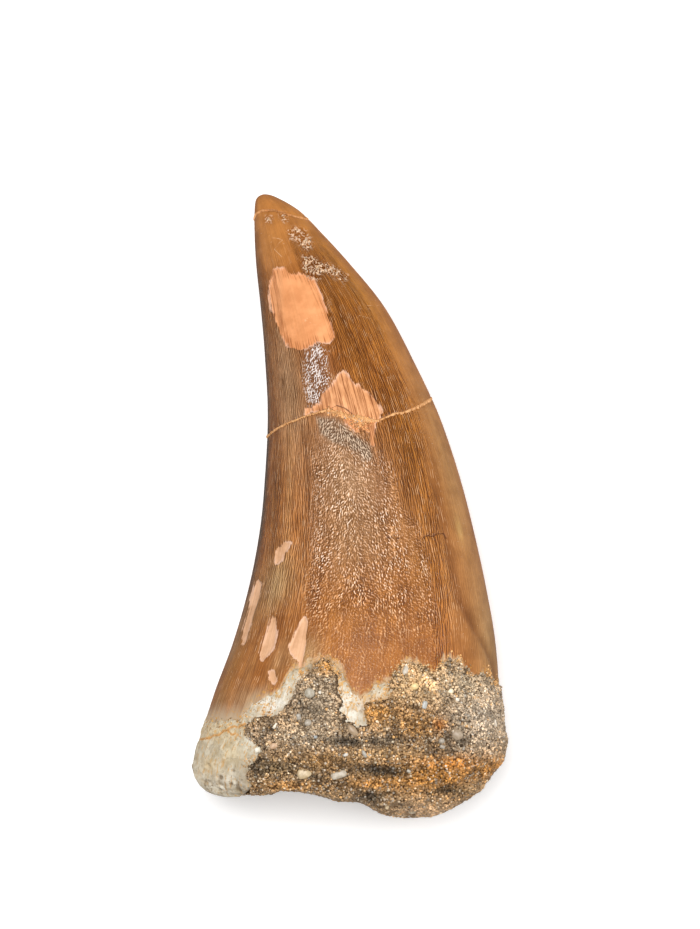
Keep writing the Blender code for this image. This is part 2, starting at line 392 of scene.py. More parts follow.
def ring_turns(over, under):
    """Turns round the tooth, more closely spaced over the upper face. They start at the lowest line."""
    upper = np.linspace(0, math.pi, over, endpoint=False)
    lower = np.linspace(math.pi, 2 * math.pi, under, endpoint=False)
    return np.roll(np.concatenate((upper, lower)), under // 2)


def around_faces(rows, columns, loop=False):
    """Quads between the neighbours of a grid whose columns go round. Its last row joins its first if it
    is a loop, and else each end closes in a fan to one more point."""
    row, column = np.meshgrid(np.arange(rows if loop else rows - 1), np.arange(columns), indexing="ij")
    below, beside = (row + 1) % rows, (column + 1) % columns
    quads = np.stack((row * columns + column, row * columns + beside, below * columns + beside,
                      below * columns + column), -1).reshape(-1, 4)
    if loop:
        return [quads]
    ring, following = np.arange(columns), (np.arange(columns) + 1) % columns
    start = np.stack((np.full(columns, rows * columns), following, ring), -1)
    last_row = (rows - 1) * columns
    end = np.stack((np.full(columns, rows * columns + 1), last_row + ring, last_row + following), -1)
    return [quads, start, end]


def make_piece(name, points, faces, marks, sharp=70):
    """A mesh object from points in millimetres and arrays of quads or triangles. The faces are turned
    outwards by the sign of the volume that they enclose, the sum of each corner triple's product. marks
    holds a number or a vector for each point."""
    triples = np.concatenate([f[:, [0, k, k + 1]] for f in faces for k in range(1, f.shape[1] - 1)])
    a, b, c = (points[triples[:, k]] for k in range(3))
    if np.einsum("ij,ij->", a - points.mean(0), np.cross(b, c)) < 0:
        faces = [f[:, ::-1] for f in faces]
    sizes = np.concatenate([np.full(len(f), f.shape[1]) for f in faces])
    corners = np.concatenate([f.ravel() for f in faces])
    mesh = bpy.data.meshes.new(name)
    mesh.vertices.add(len(points))
    mesh.vertices.foreach_set("co", (points * MM).ravel())
    mesh.loops.add(len(corners))
    mesh.loops.foreach_set("vertex_index", corners)
    mesh.polygons.add(len(sizes))
    mesh.polygons.foreach_set("loop_start", np.cumsum(sizes) - sizes)
    mesh.update(calc_edges=True)
    for mark, values in marks.items():
        vector = values.ndim == 2
        made = mesh.attributes.new(mark, "FLOAT_VECTOR" if vector else "FLOAT", "POINT")
        made.data.foreach_set("vector" if vector else "value", values.ravel())
    if sharp:
        mesh.shade_smooth()
        mesh.set_sharp_from_angle(angle=math.radians(sharp))
    piece = bpy.data.objects.new(name, mesh)
    bpy.context.scene.collection.objects.link(piece)
    return piece


def capped(grid):
    """A grid's values in one list, then the means of its first and last rows, where its fans meet."""
    flat = grid.reshape((-1,) + grid.shape[2:])
    return np.concatenate((flat, grid[:1].mean(1), grid[-1:].mean(1)))


def capped_piece(name, points, marks):
    """A piece from a grid of points that goes round and closes in a fan at each end."""
    return make_piece(name, capped(points), around_faces(*points.shape[:2]),
                      {mark: capped(values) for mark, values in marks.items()})


MEAN_RADIUS = 14.0


def growth_place(turn, depth):
    """Where grain that follows the tooth's growth is read: a cylinder of the tooth's mean radius, whose
    height is the depth, so that a grain line keeps its turn and the pattern closes all the way round."""
    return np.stack((MEAN_RADIUS * np.cos(turn), MEAN_RADIUS * np.sin(turn), depth), -1)


def crown_length(name, upper, lower, rows, over, under):
    """The crown between two lines round it, its rows spread by the square root of depth."""
    turn, share = np.meshgrid(ring_turns(over, under), np.linspace(0, 1, rows))
    top, bottom = np.sqrt(upper(turn)), np.sqrt(lower(turn))
    along = top + (bottom - top) * share
    smooth = tooth_point(turn, along)
    height, marks = enamel_relief(turn, along**2, smooth[..., 0], smooth[..., 1])
    points = smooth + outward(tooth_point, turn, along) * height[..., None]
    marks["growth"] = growth_place(turn, along**2)
    return capped_piece(name, points, marks)


def tip_start(turn):
    """A ring so close below the tip's very end that its fan doesn't show."""
    return np.full(turn.shape, TIP_START_DEPTH)


def tip_break(turn):
    """The depth of the break just below the tip."""
    return round_the_tooth(TIP_BREAK, turn)


def middle_break(turn):
    """The depth of the break at mid height."""
    return round_the_tooth(MIDDLE_BREAK, turn)


crown_tip = crown_length("crown_tip", tip_start, tip_break, 40, 260, 120)
crown_middle = crown_length("crown_middle", tip_break, middle_break, 190, 330, 150)
crown_base = crown_length("crown_base", middle_break, edge_depth, 200, 330, 150)


class Field:
    """A number, colour or place that varies over a surface: one output of a shader node. The arithmetic
    signs make the nodes that work out a new one."""

    def __init__(self, socket):
        self.socket = socket
        self.tree = socket.id_data

    def __add__(self, other):
        return worked_out("ADD", self, other)

    def __sub__(self, other):
        return worked_out("SUBTRACT", self, other)

    def __mul__(self, other):
        return worked_out("MULTIPLY", self, other)


def set_sockets(node, sockets):
    """A node's inputs set to plain values or joined to fields."""
    for key, value in sockets.items():
        if isinstance(value, Field):
            value.tree.links.new(value.socket, node.inputs[key])
        else:
            node.inputs[key].default_value = value


def put(tree, kind, sockets=None, **settings):
    """A shader node with its settings made and its inputs set."""
    made = tree.nodes.new(kind)
    for key, value in settings.items():
        setattr(made, key, value)
    set_sockets(made, sockets or {})
    return made


def tree_of(*values):
    """The node tree of the first field among some values."""
    return next(value.tree for value in values if isinstance(value, Field))


def worked_out(operation, *values):
    """One number worked out from fields and plain numbers."""
    made = put(tree_of(*values), "ShaderNodeMath", dict(enumerate(values)), operation=operation)
    return Field(made.outputs[0])


def highest(first, second):
    """The higher of two numbers."""
    return worked_out("MAXIMUM", first, second)


def between(value, low, high, to_low=0.0, to_high=1.0):
    """A number carried smoothly from one range to another."""
    made = put(value.tree, "ShaderNodeMapRange", {"Value": value, "From Min": low, "From Max": high,
               "To Min": to_low, "To Max": to_high}, interpolation_type="SMOOTHSTEP")
    return Field(made.outputs["Result"])


def paint(red, green, blue):
    """A screen colour from 0 to 255 as a shader's plain colour."""
    return (*linear(red, green, blue), 1.0)


def laid(colour, share, over, kind="MIX"):
    """A colour with another laid over it by a share."""
    made = put(tree_of(share, colour, over), "ShaderNodeMix", {0: share, 6: colour, 7: over},
               data_type="RGBA", blend_type=kind)
    return Field(made.outputs[2])


def toned(colour, value, dark, light, strength=1.0):
    """A colour multiplied by the dark triple where the value is 0 and by the light one where it is 1."""
    return laid(colour, strength, laid((*dark, 1.0), value, (*light, 1.0)), "MULTIPLY")


def cloudy(place, scale, detail, roughness):
    """Noise from 0 to 1 that is alike in every direction and changes scale times in the place's unit."""
    made = put(place.tree, "ShaderNodeTexNoise",
               {"Vector": place, "Scale": scale, "Detail": detail, "Roughness": roughness})
    return Field(made.outputs["Fac"])


def parts_of(value):
    """The three numbers of a place or colour."""
    return [Field(output) for output in put(value.tree, "ShaderNodeSeparateXYZ", {0: value}).outputs]


def joined(x, y, z=0.0):
    """A place made of three numbers."""
    return Field(put(x.tree, "ShaderNodeCombineXYZ", {0: x, 1: y, 2: z}).outputs[0])


def new_group(name, numbers, results):
    """An empty shader node group that reads a place and some numbers, and puts out numbers."""
    group = bpy.data.node_groups.new(name, "ShaderNodeTree")
    group.interface.new_socket("Place", in_out="INPUT", socket_type="NodeSocketVector")
    for number in numbers:
        group.interface.new_socket(number, in_out="INPUT", socket_type="NodeSocketFloat")
    for result in results:
        group.interface.new_socket(result, in_out="OUTPUT", socket_type="NodeSocketFloat")
    given = [Field(output) for output in group.nodes.new("NodeGroupInput").outputs]
    return group, given, group.nodes.new("NodeGroupOutput")


def use_group(group, place, *numbers):
    """A group's outputs, once its inputs are set in their order."""
    made = put(place.tree, "ShaderNodeGroup", node_tree=group)
    set_sockets(made, dict(enumerate((place, *numbers))))
    return [Field(output) for output in made.outputs]


# Fibres are long noise that runs up the tooth. Across and Along are how often it changes in a millimetre
fibre_group, given, ending = new_group("fibres", ("Across", "Along", "Detail"), ("Value",))
fibre_place, across, along, detail = given[:4]
often = joined(across, across, along)
stretched = put(fibre_group, "ShaderNodeVectorMath", {0: fibre_place, 1: often}, operation="MULTIPLY")
set_sockets(ending, {"Value": cloudy(Field(stretched.outputs[0]), 1.0, detail, 0.6)})

# Specks are small scattered spots of a size in metres. Amount is from 0, none, to 1, half of the surface
speck_group, given, ending = new_group("specks", ("Size", "Amount"), ("Mask", "Value"))
speck_place, size, amount = given[:3]
speck_noise = cloudy(speck_place, worked_out("DIVIDE", 1.0, size), 2.0, 0.65)
speck_mask = (speck_noise - (amount * -0.25 + 0.75)) * 14.0
speck_mask = Field(put(speck_group, "ShaderNodeClamp", {"Value": speck_mask}).outputs[0])
set_sockets(ending, {"Mask": speck_mask, "Value": speck_noise})

# Lines are short bands side by side on the tooth unrolled flat. Across and Along are how many patches of
# them there are in a millimetre, Often is how many bands fit in a patch, Turn leans them, and Order is 1
# where all lean alike
line_group, given, ending = new_group("lines", ("Across", "Along", "Often", "Turn", "Order"), ("Value",))
line_place, across, along, often, lean, order = given[:6]
to_right, to_back, down = parts_of(line_place)
unrolled = worked_out("ARCTAN2", to_right, to_back) * MEAN_RADIUS
flat = joined(unrolled * across, down * along)
patches = put(line_group, "ShaderNodeTexGabor", {"Vector": flat, "Scale": 1.0, "Frequency": often, 4: lean,
              "Anisotropy": order}, gabor_type="2D")
set_sockets(ending, {"Value": Field(patches.outputs["Value"])})


def new_finish(name):
    """A new material, and the place on the piece that its patterns are read at."""
    made = bpy.data.materials.new(name)
    made.use_nodes = True
    return made, Field(put(made.node_tree, "ShaderNodeTexCoord").outputs["Object"])


def mark_of(finish, name, output="Fac"):
    """A mark that the piece's mesh carries."""
    return Field(put(finish.node_tree, "ShaderNodeAttribute", attribute_name=name).outputs[output])


def bumped(height, strength, distance):
    """The normals of a surface raised by a height, its full range being the distance in metres."""
    made = put(height.tree, "ShaderNodeBump",
               {"Strength": strength, "Distance": distance, "Height": height})
    return Field(made.outputs["Normal"])


def set_shader(finish, sockets):
    """The finish's own shader, its inputs set to plain values or joined to fields."""
    set_sockets(finish.node_tree.nodes["Principled BSDF"], sockets)


def fit(piece, finish, node):
    """A piece with its finish on, hung from the root body, and the CAD node that it stands for hidden."""
    piece.data.materials.append(finish)
    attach(piece, "root")
    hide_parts(node)


enamel, place = new_finish("fossil_enamel")
growth = mark_of(enamel, "growth", "Vector")
ridged, streaked, leathery, fibrous, flake, chipped, lined, skin_left, pitted, smear, fading = (
    mark_of(enamel, name) for name in (
        "ridged", "streaked", "leathery", "fibrous", "flake", "chipped", "lined", "skin_left", "pitted",
        "smear", "fading"))

broad, = use_group(fibre_group, growth, 0.4, 0.06, 3.0)
streak, = use_group(fibre_group, growth, 1.3, 0.07, 3.0)
fine, = use_group(fibre_group, growth, 6.0, 0.24, 2.0)
clusters, = use_group(fibre_group, growth, 0.9, 0.35, 3.0)
patchy = cloudy(place, 420.0, 3.0, 0.6)
lines, = use_group(line_group, growth, 2.4, 1.0, 1.25, patchy * 0.9 - 0.45, 0.85)
WRINKLE_LEAN = math.radians(28)
leaning = between(mark_of(enamel, "lean"), 0.0, 1.0, -WRINKLE_LEAN, WRINKLE_LEAN) + (clusters - 0.5) * 2.4
dashes, = use_group(line_group, growth, 2.7, 2.5, 1.1, leaning, 0.5)
cells = dashes + (cloudy(place, 2600.0, 2.0, 0.5) - 0.5) * 0.6
wrinkle = between(cells, 0.37, 0.62)

# The brown of the skin: stains and some painted shade, then fibres, fine lines at its sides and wrinkles up
# its middle
WHITE = (1.0, 1.0, 1.0)
colour = mark_of(enamel, "stain", "Color")
colour = toned(colour, between(patchy, 0.3, 0.7), (0.91, 0.89, 0.84), (1.21, 1.25, 1.28))
colour = toned(colour, between(broad, 0.32, 0.68), (0.86, 0.83, 0.8), (1.12, 1.14, 1.16),
               fibrous * 0.3 + 0.45)
colour = toned(colour, between(streak, 0.36, 0.64), (0.7, 0.63, 0.55), (1.14, 1.16, 1.16),
               fibrous * 0.4 + 0.1)
# The wrinkles' tops are lightened and their gaps darkened: partly their own tone, partly painted highlight
# and painted shade.
line_light = between(lines + fine * 0.6, 0.7, 0.9)
grain_light = line_light + (wrinkle - line_light) * leathery
grain_share = highest(leathery * between(clusters, 0.38, 0.56, 0.6, 1.0), streaked * 0.7 + 0.2)
colour = toned(colour, grain_light, (0.38, 0.29, 0.16), (1.46, 1.5, 1.56), grain_share)
ridge_line = between(mark_of(enamel, "ridge"), -0.5, 0.15)
colour = toned(colour, ridge_line, (0.76, 0.69, 0.6), (1.05, 1.05, 1.05), ridged * 0.4)
# Painted shade darkens the flank groove.
colour = toned(colour, mark_of(enamel, "groove"), WHITE, (0.66, 0.58, 0.48))

# Painted glints on wrinkle tops and lines, painted sparkle in the streak, specks of dust and painted glints
# The wrinkles' tops are lightened and laid with a glint colour: a painted highlight.
painted_glint_tops = between(clusters, 0.44, 0.6, 0.3, 1.0) * (between(cells, 0.6, 0.67) * leathery)
colour = toned(colour, painted_glint_tops, WHITE, (1.8, 1.85, 1.9))
low_down = between(parts_of(growth)[2], 44, 53)
glint = laid(paint(244, 230, 214), low_down, paint(238, 200, 160))
colour = laid(colour, painted_glint_tops * 0.75, glint)
# Pale dashes along the fine lines are painted glints.
painted_line_glints = between(lines, 0.62, 0.68) * between(clusters, 0.42, 0.62) * (fibrous * 0.5 + 0.12)
colour = laid(colour, painted_line_glints, paint(226, 180, 136))
# Pale blobs in the glitter streak are painted sparkle.
sparkle_value = cells + clusters * 0.6 + mark_of(enamel, "sparkle_lean") * 0.12
painted_sparkle = between(sparkle_value, 0.92, 1.03, 0.0, 0.9) * mark_of(enamel, "glitter")
colour = laid(colour, painted_sparkle, paint(240, 228, 222))
# Pale specks: dust, and painted glint dots.
dust_and_glint_specks = use_group(speck_group, place, 0.0002, 0.2)[0]
colour = laid(colour, dust_and_glint_specks * 0.6, paint(238, 212, 184))

# The skin's lower edge fades on the left, and elsewhere is chalky with specks of rust
colour = laid(colour, fading * between(skin_left, 0.0, 2.4, 0.9, 0.0), paint(190, 166, 136))
chalk = between(skin_left + (patchy - 0.5) * 3.0, -0.2, 0.8, 0.7, 0.0) * (fading * -0.9 + 1.0)
colour = laid(colour, chalk, paint(222, 196, 158))
rust = use_group(speck_group, place, 0.0004, 0.7)[0] * between(skin_left, 0.5, 1.6, 0.8, 0.0)
colour = laid(colour, rust, paint(200, 146, 72))

# The bare dentine of the flakes, with dark growth lines and a paler rim
ragged = flake + (fine - 0.5) * 0.7 + (patchy - 0.5)
bare = between(ragged, -0.04, 0.06)
peach = laid(paint(236, 162, 108), between(broad, 0.35, 0.65), paint(230, 154, 100))
peach = laid(peach, lined, paint(220, 155, 106))
peach = laid(peach, chipped, paint(226, 176, 136))
peach = toned(peach, between(patchy, 0.35, 0.65), (0.88, 0.84, 0.78), (1.06, 1.08, 1.1))
peach = toned(peach, between(clusters, 0.38, 0.6), (0.86, 0.82, 0.78), (1.16, 1.2, 1.24), lined)
growth_line = between(worked_out("ABSOLUTE", streak - 0.5) + (fine - 0.5) * 0.2, 0.0, 0.06)
line_share = highest(lined * 0.95, between(ragged, 0.3, 1.3, 0.8, 0.05)) * (chipped * -0.75 + 1.0)
peach = toned(peach, growth_line, (0.44, 0.32, 0.22), WHITE, line_share)
peach = laid(peach, between(ragged, 0.02, 0.3, 0.8, 0.0) * between(patchy, 0.4, 0.6), paint(232, 190, 164))
colour = laid(colour, bare, peach)

# Pitted scabs, the grey smear, pale scratches and dark cracks
crumb_mask, crumb_value = use_group(speck_group, place, 0.0003, 0.9)
colour = toned(colour, between(crumb_value, 0.42, 0.55), (0.7, 0.62, 0.54), WHITE, pitted)
colour = laid(colour, crumb_mask * pitted, paint(224, 188, 158))
grey = laid(paint(98, 72, 54), between(cells, 0.38, 0.66), paint(214, 188, 160))
colour = laid(colour, smear * between(patchy, 0.35, 0.6, 0.3, 0.85), grey)
scratch = between(mark_of(enamel, "scratches") + fine * 0.08, 0.05, 0.1, 0.45, 0.0)
colour = laid(colour, scratch * between(patchy, 0.36, 0.5), paint(238, 200, 158))
crack = between(mark_of(enamel, "cracks") + streak * 0.12, 0.1, 0.18, 0.8, 0.0)
colour = laid(colour, crack, paint(84, 44, 18))

relief = fine * (streaked * 0.8 + 0.3) + between(lines, 0.42, 0.58) * (streaked * 0.5)
relief = (relief + wrinkle * (leathery * 0.8 + 0.04)) * (bare * -0.75 + 1.0)
relief = relief + crumb_value * (pitted * 2.0) + wrinkle * (smear * 0.5)
gloss = highest(highest(leathery, highest(pitted, smear)), streaked * 0.8)
set_shader(enamel, {"Base Color": colour, "Normal": bumped(relief, 1.0, 0.0001),
                    "Roughness": gloss * -0.2 + 0.44 + bare * 0.12, "Specular IOR Level": 0.24})

for piece in (crown_tip, crown_middle, crown_base):
    fit(piece, enamel, "tooth")

# The root stub is bare dentine and cementum, porous and cream, stained ochre along its old cracks. It
# runs on from the enamel's lower edge, tucked a little under it, and ends in a rough broken rim at the
# lower left.

ROOT_TUCK = 0.8
ROOT_LAST_DEPTH = TOOTH_SECTIONS[-1, 0]
END_BULGE = 0.5
# Cracks as x and y, and pits as x, y and radius
ROOT_CRACKS = (
    ((-17.8, -28.0), (-16.9, -27.8), (-16.2, -27.4), (-15.7, -27.4), (-15.2, -26.9), (-14.7, -26.8),
     (-14.3, -26.4), (-13.8, -26.3), (-13.4, -26.5), (-12.6, -26.0)),
    ((-14.6, -26.8), (-14.2, -27.3), (-13.6, -27.2), (-13.0, -27.7)),
)
ROOT_PITS = (
    (-17.0, -31.0, 0.20), (-15.6, -32.4, 0.26), (-17.5, -33.0, 0.18), (-14.0, -31.6, 0.20),
    (-14.3, -33.3, 0.22), (-16.6, -34.0, 0.20), (-17.3, -30.0, 0.14), (-13.6, -30.0, 0.16),
    (-15.1, -29.1, 0.12), (-16.9, -28.9, 0.12),
)
# Where the broken end lies as it is seen from above, x and y
ROOT_SEEN_END = ((-19.0, -31.0), (-18.6, -32.6), (-18.0, -33.6), (-17.2, -34.3), (-16.2, -34.8),
                 (-14.8, -35.1), (-13.2, -35.0), (-12.0, -34.0), (-10.0, -33.0), (-7.0, -32.6),
                 (-4.0, -33.2), (20.0, -34.6))
ROOT_GROUND = linear(207, 196, 174)
# Clouds of colour in the root: x and y of the middle, half widths of both, colour, strength
ROOT_CLOUDS = (
    (-15.5, -27.0, 3.5, 1.2, (220, 200, 162), 0.7),
    (-14.0, -29.5, 1.4, 1.4, (226, 206, 166), 0.6),
    (-12.2, -28.6, 1.0, 1.6, (232, 228, 214), 0.8),
    (-16.8, -31.3, 1.0, 1.0, (216, 186, 132), 0.6),
    (-12.6, -32.6, 1.2, 2.2, (152, 132, 104), 0.8),
    (-15.6, -33.0, 3.2, 1.5, (228, 220, 204), 0.85),
    (-9.0, -23.4, 4.0, 2.2, (238, 233, 222), 0.95),
    (0.6, -23.4, 1.8, 3.0, (236, 231, 220), 0.95),
    (-2.8, -18.6, 1.6, 1.2, (206, 158, 90), 0.8),
    (4.5, -23.6, 3.0, 0.9, (214, 160, 90), 0.7),
    (10.5, -20.4, 1.6, 1.4, (232, 190, 130), 0.6),
)


def held_above(y, x, line, soft=0.8):
    """y kept above a line: an exponential presses what would pass it into the last soft millimetres."""
    limit = np.interp(x, *np.array(line).T) + soft
    past = np.maximum(limit - y, 0)
    return np.where(past > 0, limit - soft * (1 - np.exp(-past / soft)), y)


def lumps(points, size, seed):
    """Smooth random heights from -1 to 1 in space, from waves across each pair of axes."""
    x, y, z = np.moveaxis(points / size, -1, 0)
    skew = 0.37 * (x + y + z)
    return (
        waves(x + skew, y - skew + 40, seed)
        + waves(y + skew, z + 80, seed + 1)
        + waves(z - skew, x + 120, seed + 2)
    ) / 1.8


def root_surface(rows, end_rows, over, under):
    """The tooth's surface from under the enamel's edge to the last section, and then in over the broken
    end: each ring draws in to the middle, and its depth grows by a quarter circle."""
    turns = ring_turns(over, under)
    turn, share = np.meshgrid(turns, np.linspace(0, 1, rows))
    along = np.sqrt(edge_depth(turn) - ROOT_TUCK)
    along += (math.sqrt(ROOT_LAST_DEPTH) - along) * share
    smooth = tooth_point(turn, along)
    normal = outward(tooth_point, turn, along)
    ring, middle = smooth[-1], smooth[-1].mean(0)
    inward = np.linspace(0, 1, end_rows + 2)[1:-1, None, None]
    end = middle + (ring - middle) * (1 - inward**1.4)
    end[..., 1] -= END_BULGE * np.sqrt(1 - (1 - inward[..., 0]) ** 2)
    end_normal = np.broadcast_to((0.0, -1.0, 0.0), end.shape)
    end_depth = ROOT_LAST_DEPTH + np.broadcast_to(inward[..., 0], (end_rows, len(turns)))
    depth = np.concatenate((along**2, end_depth))
    around = np.broadcast_to(turns, depth.shape)
    return around, depth, np.concatenate((smooth, end)), np.concatenate((normal, end_normal))


turn, depth, smooth, normal = root_surface(110, 22, 300, 140)
x, y = smooth[..., 0], smooth[..., 1]
skin_left = edge_depth(turn) - depth
root_cracks = np.where(np.sin(turn) > 0, to_paths(ROOT_CRACKS, x, y), NO_LINE_NEAR)
broken = ease(depth + 0.8 * lumps(smooth, 2.0, 34), 69.0, 71.6)
height = (
    0.12 * lumps(smooth, 2.4, 21)
    + 0.07 * lumps(smooth, 0.8, 24)
    + 0.04 * round_waves(turn, depth, 180, 0.8, 25)
    + (0.10 * lumps(smooth, 0.9, 36) + 0.07 * lumps(smooth, 0.4, 39)) * band(skin_left, -5, -0.3, 0.5)
    + broken * (0.2 * lumps(smooth, 1.5, 27) - 0.3 * ease(lumps(smooth, 0.8, 30), 0.15, 0.5))
    - FLAKE_DEPTH * ease(skin_left, -1.5, -0.1)
    - 0.5 * ease(skin_left, -0.05, 0.3)
    - CRACK_DEPTH * (1 - ease(root_cracks, 0.02, 0.14))
)
for pit_x, pit_y, pit_radius in ROOT_PITS:
    away = np.hypot(x - pit_x, y - pit_y)
    height -= 1.4 * pit_radius * (1 - ease(away, 0, 1.6 * pit_radius)) * (np.sin(turn) > 0)
marks = {
    "growth": growth_place(turn, depth), "stain": stained(ROOT_GROUND, ROOT_CLOUDS, x, y), "relief": height,
    "cracks": np.minimum(root_cracks, NO_LINE_NEAR), "skin_left": skin_left, "broken": broken,
}
points = smooth + normal * height[..., None]
points[..., 1] = held_above(points[..., 1], points[..., 0], ROOT_SEEN_END)
root = capped_piece("root", points, marks)

dentine, place = new_finish("root_dentine")
growth = mark_of(dentine, "growth", "Vector")
broken, skin_left = (mark_of(dentine, name) for name in ("broken", "skin_left"))
mottle = cloudy(place, 900.0, 4.0, 0.65)
fine, = use_group(fibre_group, growth, 2.4, 0.9, 3.0)
dashes, = use_group(fibre_group, growth, 3.4, 0.9, 2.0)
rim_folds, = use_group(fibre_group, growth, 0.9, 2.6, 3.0)
ochre, pits, gold, brown = (use_group(speck_group, place, size, amount)[0] for size, amount in (
    (0.0007, 0.45), (0.0004, 0.6), (0.0005, 0.75), (0.00036, 0.65)))
pits = pits * (broken * 0.4 + 0.25)
by_enamel = between(skin_left, -3.2, -0.6)
crack = mark_of(dentine, "cracks") + fine * 0.12

colour = mark_of(dentine, "stain", "Color")
colour = toned(colour, between(mottle, 0.35, 0.65), (0.8, 0.74, 0.64), (1.06, 1.07, 1.08))
colour = toned(colour, between(fine, 0.35, 0.65), (0.9, 0.88, 0.84), (1.03, 1.03, 1.03), 0.8)
# Among these, the low places of the relief, the pits and hollows, are darker.
for share, over in (
    (between(dashes, 0.56, 0.66, 0.0, 0.75), paint(200, 154, 92)),
    (ochre * 0.5, paint(202, 152, 86)),
    (pits, paint(122, 100, 74)),
    (between(rim_folds, 0.5, 0.6, 0.0, 0.55) * broken, paint(150, 132, 108)),
    (between(mark_of(dentine, "relief"), -0.4, -0.14, 0.75, 0.0), paint(132, 110, 82)),
    (gold * by_enamel, paint(212, 164, 96)),
    (brown * by_enamel, paint(150, 112, 72)),
    (between(crack, 0.12, 0.26, 0.85, 0.0), paint(216, 160, 92)),
    (between(crack, 0.06, 0.11, 0.8, 0.0), paint(142, 90, 46)),
):
    colour = laid(colour, share, over)
relief = fine + mottle * 1.2 + pits * -1.5
set_shader(dentine, {"Base Color": colour, "Normal": bumped(relief, 0.8, 0.00012),
                     "Roughness": between(mottle, 0.3, 0.7, 0.5, 0.75), "Specular IOR Level": 0.35})
fit(root, dentine, "tooth")

# The glue in the two breaks is tan filler that squeezed out and was scraped down to a thin bead. In the
# middle break it crumbled where the flake's lower corner is missing, and its crumbs are grains stuck
# along the line.


def glue_bead(name, line, widths, heights, seed):
    """A bead laid in a break: at each turn an ellipse whose half width and half height vary."""
    turns = np.linspace(0, 2 * math.pi, 1400, endpoint=False)
    round_bead = np.linspace(0, 2 * math.pi, 10, endpoint=False)
    turn, section = np.meshgrid(turns, round_bead, indexing="ij")
    uneven = round_waves(turn, section, 396, 0, seed)
    fine_uneven = round_waves(turn, section, 1440, 0, seed + 1)
    wide = round_the_tooth(widths, turn) * (1 + 0.3 * uneven + 0.3 * fine_uneven)
    high = round_the_tooth(heights, turn) * (1 + 0.3 * fine_uneven)
    depth = round_the_tooth(line, turn) + 0.05 * uneven + wide * np.cos(section)
    along = np.sqrt(np.maximum(depth, 0.01))
    lift = high * np.sin(section) - 0.5 * BREAK_DEPTH
    points = tooth_point(turn, along) + outward(tooth_point, turn, along) * lift[..., None]
    return make_piece(name, points.reshape(-1, 3), around_faces(*turn.shape, loop=True),
                      {"tone": uneven.ravel() * 0.5 + 0.5})


# Half widths and heights of the beads: turn in degrees, millimetres
TIP_BEAD_WIDTHS = ((0, 0.07), (60, 0.08), (120, 0.11), (180, 0.14), (270, 0.1))
TIP_BEAD_HEIGHTS = ((0, 0.1), (120, 0.12), (180, 0.16), (270, 0.12))
MIDDLE_BEAD_WIDTHS = ((0, 0.15), (30, 0.17), (60, 0.15), (72, 0.14), (79, 0.2), (84, 0.42), (98, 0.4),
                      (104, 0.12), (130, 0.1), (150, 0.13), (180, 0.12), (270, 0.16))
MIDDLE_BEAD_HEIGHTS = ((0, 0.17), (50, 0.16), (66, 0.09), (90, 0.12), (130, 0.11), (180, 0.13),
                       (270, 0.15))
glue_line_tip = glue_bead("glue_line_tip", TIP_BREAK, TIP_BEAD_WIDTHS, TIP_BEAD_HEIGHTS, 41)
glue_line_middle = glue_bead("glue_line_middle", MIDDLE_BREAK, MIDDLE_BEAD_WIDTHS, MIDDLE_BEAD_HEIGHTS, 43)

glue, place = new_finish("old_glue")
grit = cloudy(place, 2500.0, 3.0, 0.6)
colour = laid(paint(196, 138, 82), mark_of(glue, "tone"), paint(226, 172, 114))
colour = toned(colour, between(grit, 0.35, 0.6), (0.7, 0.6, 0.48), (1.1, 1.12, 1.16), 0.8)
set_shader(glue, {"Base Color": colour, "Normal": bumped(grit, 0.7, 0.00006), "Roughness": 0.5})
for piece in (glue_line_tip, glue_line_middle):
    fit(piece, glue, "tooth")

# The crust is phosphate sand that set round the root: a rough grey and ochre sheet about a millimetre
# thick on the tooth and a thick lump past its end. This piece is its fine cement, and the coarse grains
# come after it.

# Depth below the tip, left and right edge, height of the edges, rise above and drop below
CRUST_SECTIONS = np.array((
    (54.4, 3.0, 3.0, 12.5, 0.0, 0.0),
    (55.0, -7.0, 12.5, 12.5, 7.5, 7.5),
    (56.6, -12.2, 16.6, 12.5, 11.2, 10.4),
    (58.6, -14.4, 18.1, 12.6, 12.0, 11.6),
    (60.6, -15.6, 18.3, 12.7, 12.3, 12.8),
    (63.0, -17.0, 18.5, 12.8, 12.5, 14.2),
    (66.0, -17.2, 18.85, 12.9, 12.5, 14.6),
    (69.0, -16.6, 17.7, 12.9, 12.0, 14.4),
    (71.2, -13.6, 16.0, 12.7, 10.8, 13.5),
    (72.6, -5.0, 14.6, 12.3, 9.4, 12.6),
    (73.8, 1.4, 12.6, 11.6, 7.4, 10.2),
    (74.6, 4.0, 10.6, 11.0, 4.4, 6.6),
    (75.0, 7.3, 7.3, 10.6, 0.0, 0.0),
))
# Where the crust covers the upper face and the underside, and the white dentine that shows through it, as
# x and y
UPPER_CRUST = (
    (-11.8, -40.0), (-11.5, -34.5), (-11.8, -32.5), (-12.2, -31.4), (-12.2, -30.6), (-11.3, -29.9),
    (-10.6, -29.0), (-12.3, -28.2), (-12.6, -26.2), (-11.8, -25.3), (-10.6, -24.8), (-9.0, -25.0),
    (-7.7, -23.7), (-6.5, -22.1), (-6.0, -20.5), (-4.6, -19.5), (-3.6, -18.2), (-2.3, -18.8),
    (-1.4, -20.0), (0.0, -22.4), (1.4, -23.4), (2.2, -23.3), (3.6, -23.2), (4.9, -22.4), (5.2, -20.4),
    (5.6, -18.7), (7.2, -18.6), (9.2, -19.0), (10.1, -20.1), (10.9, -18.4), (12.2, -17.9), (13.6, -19.1),
    (14.6, -20.2), (16.2, -19.8), (17.6, -21.2), (26.0, -21.2), (26.0, -40.0),
)
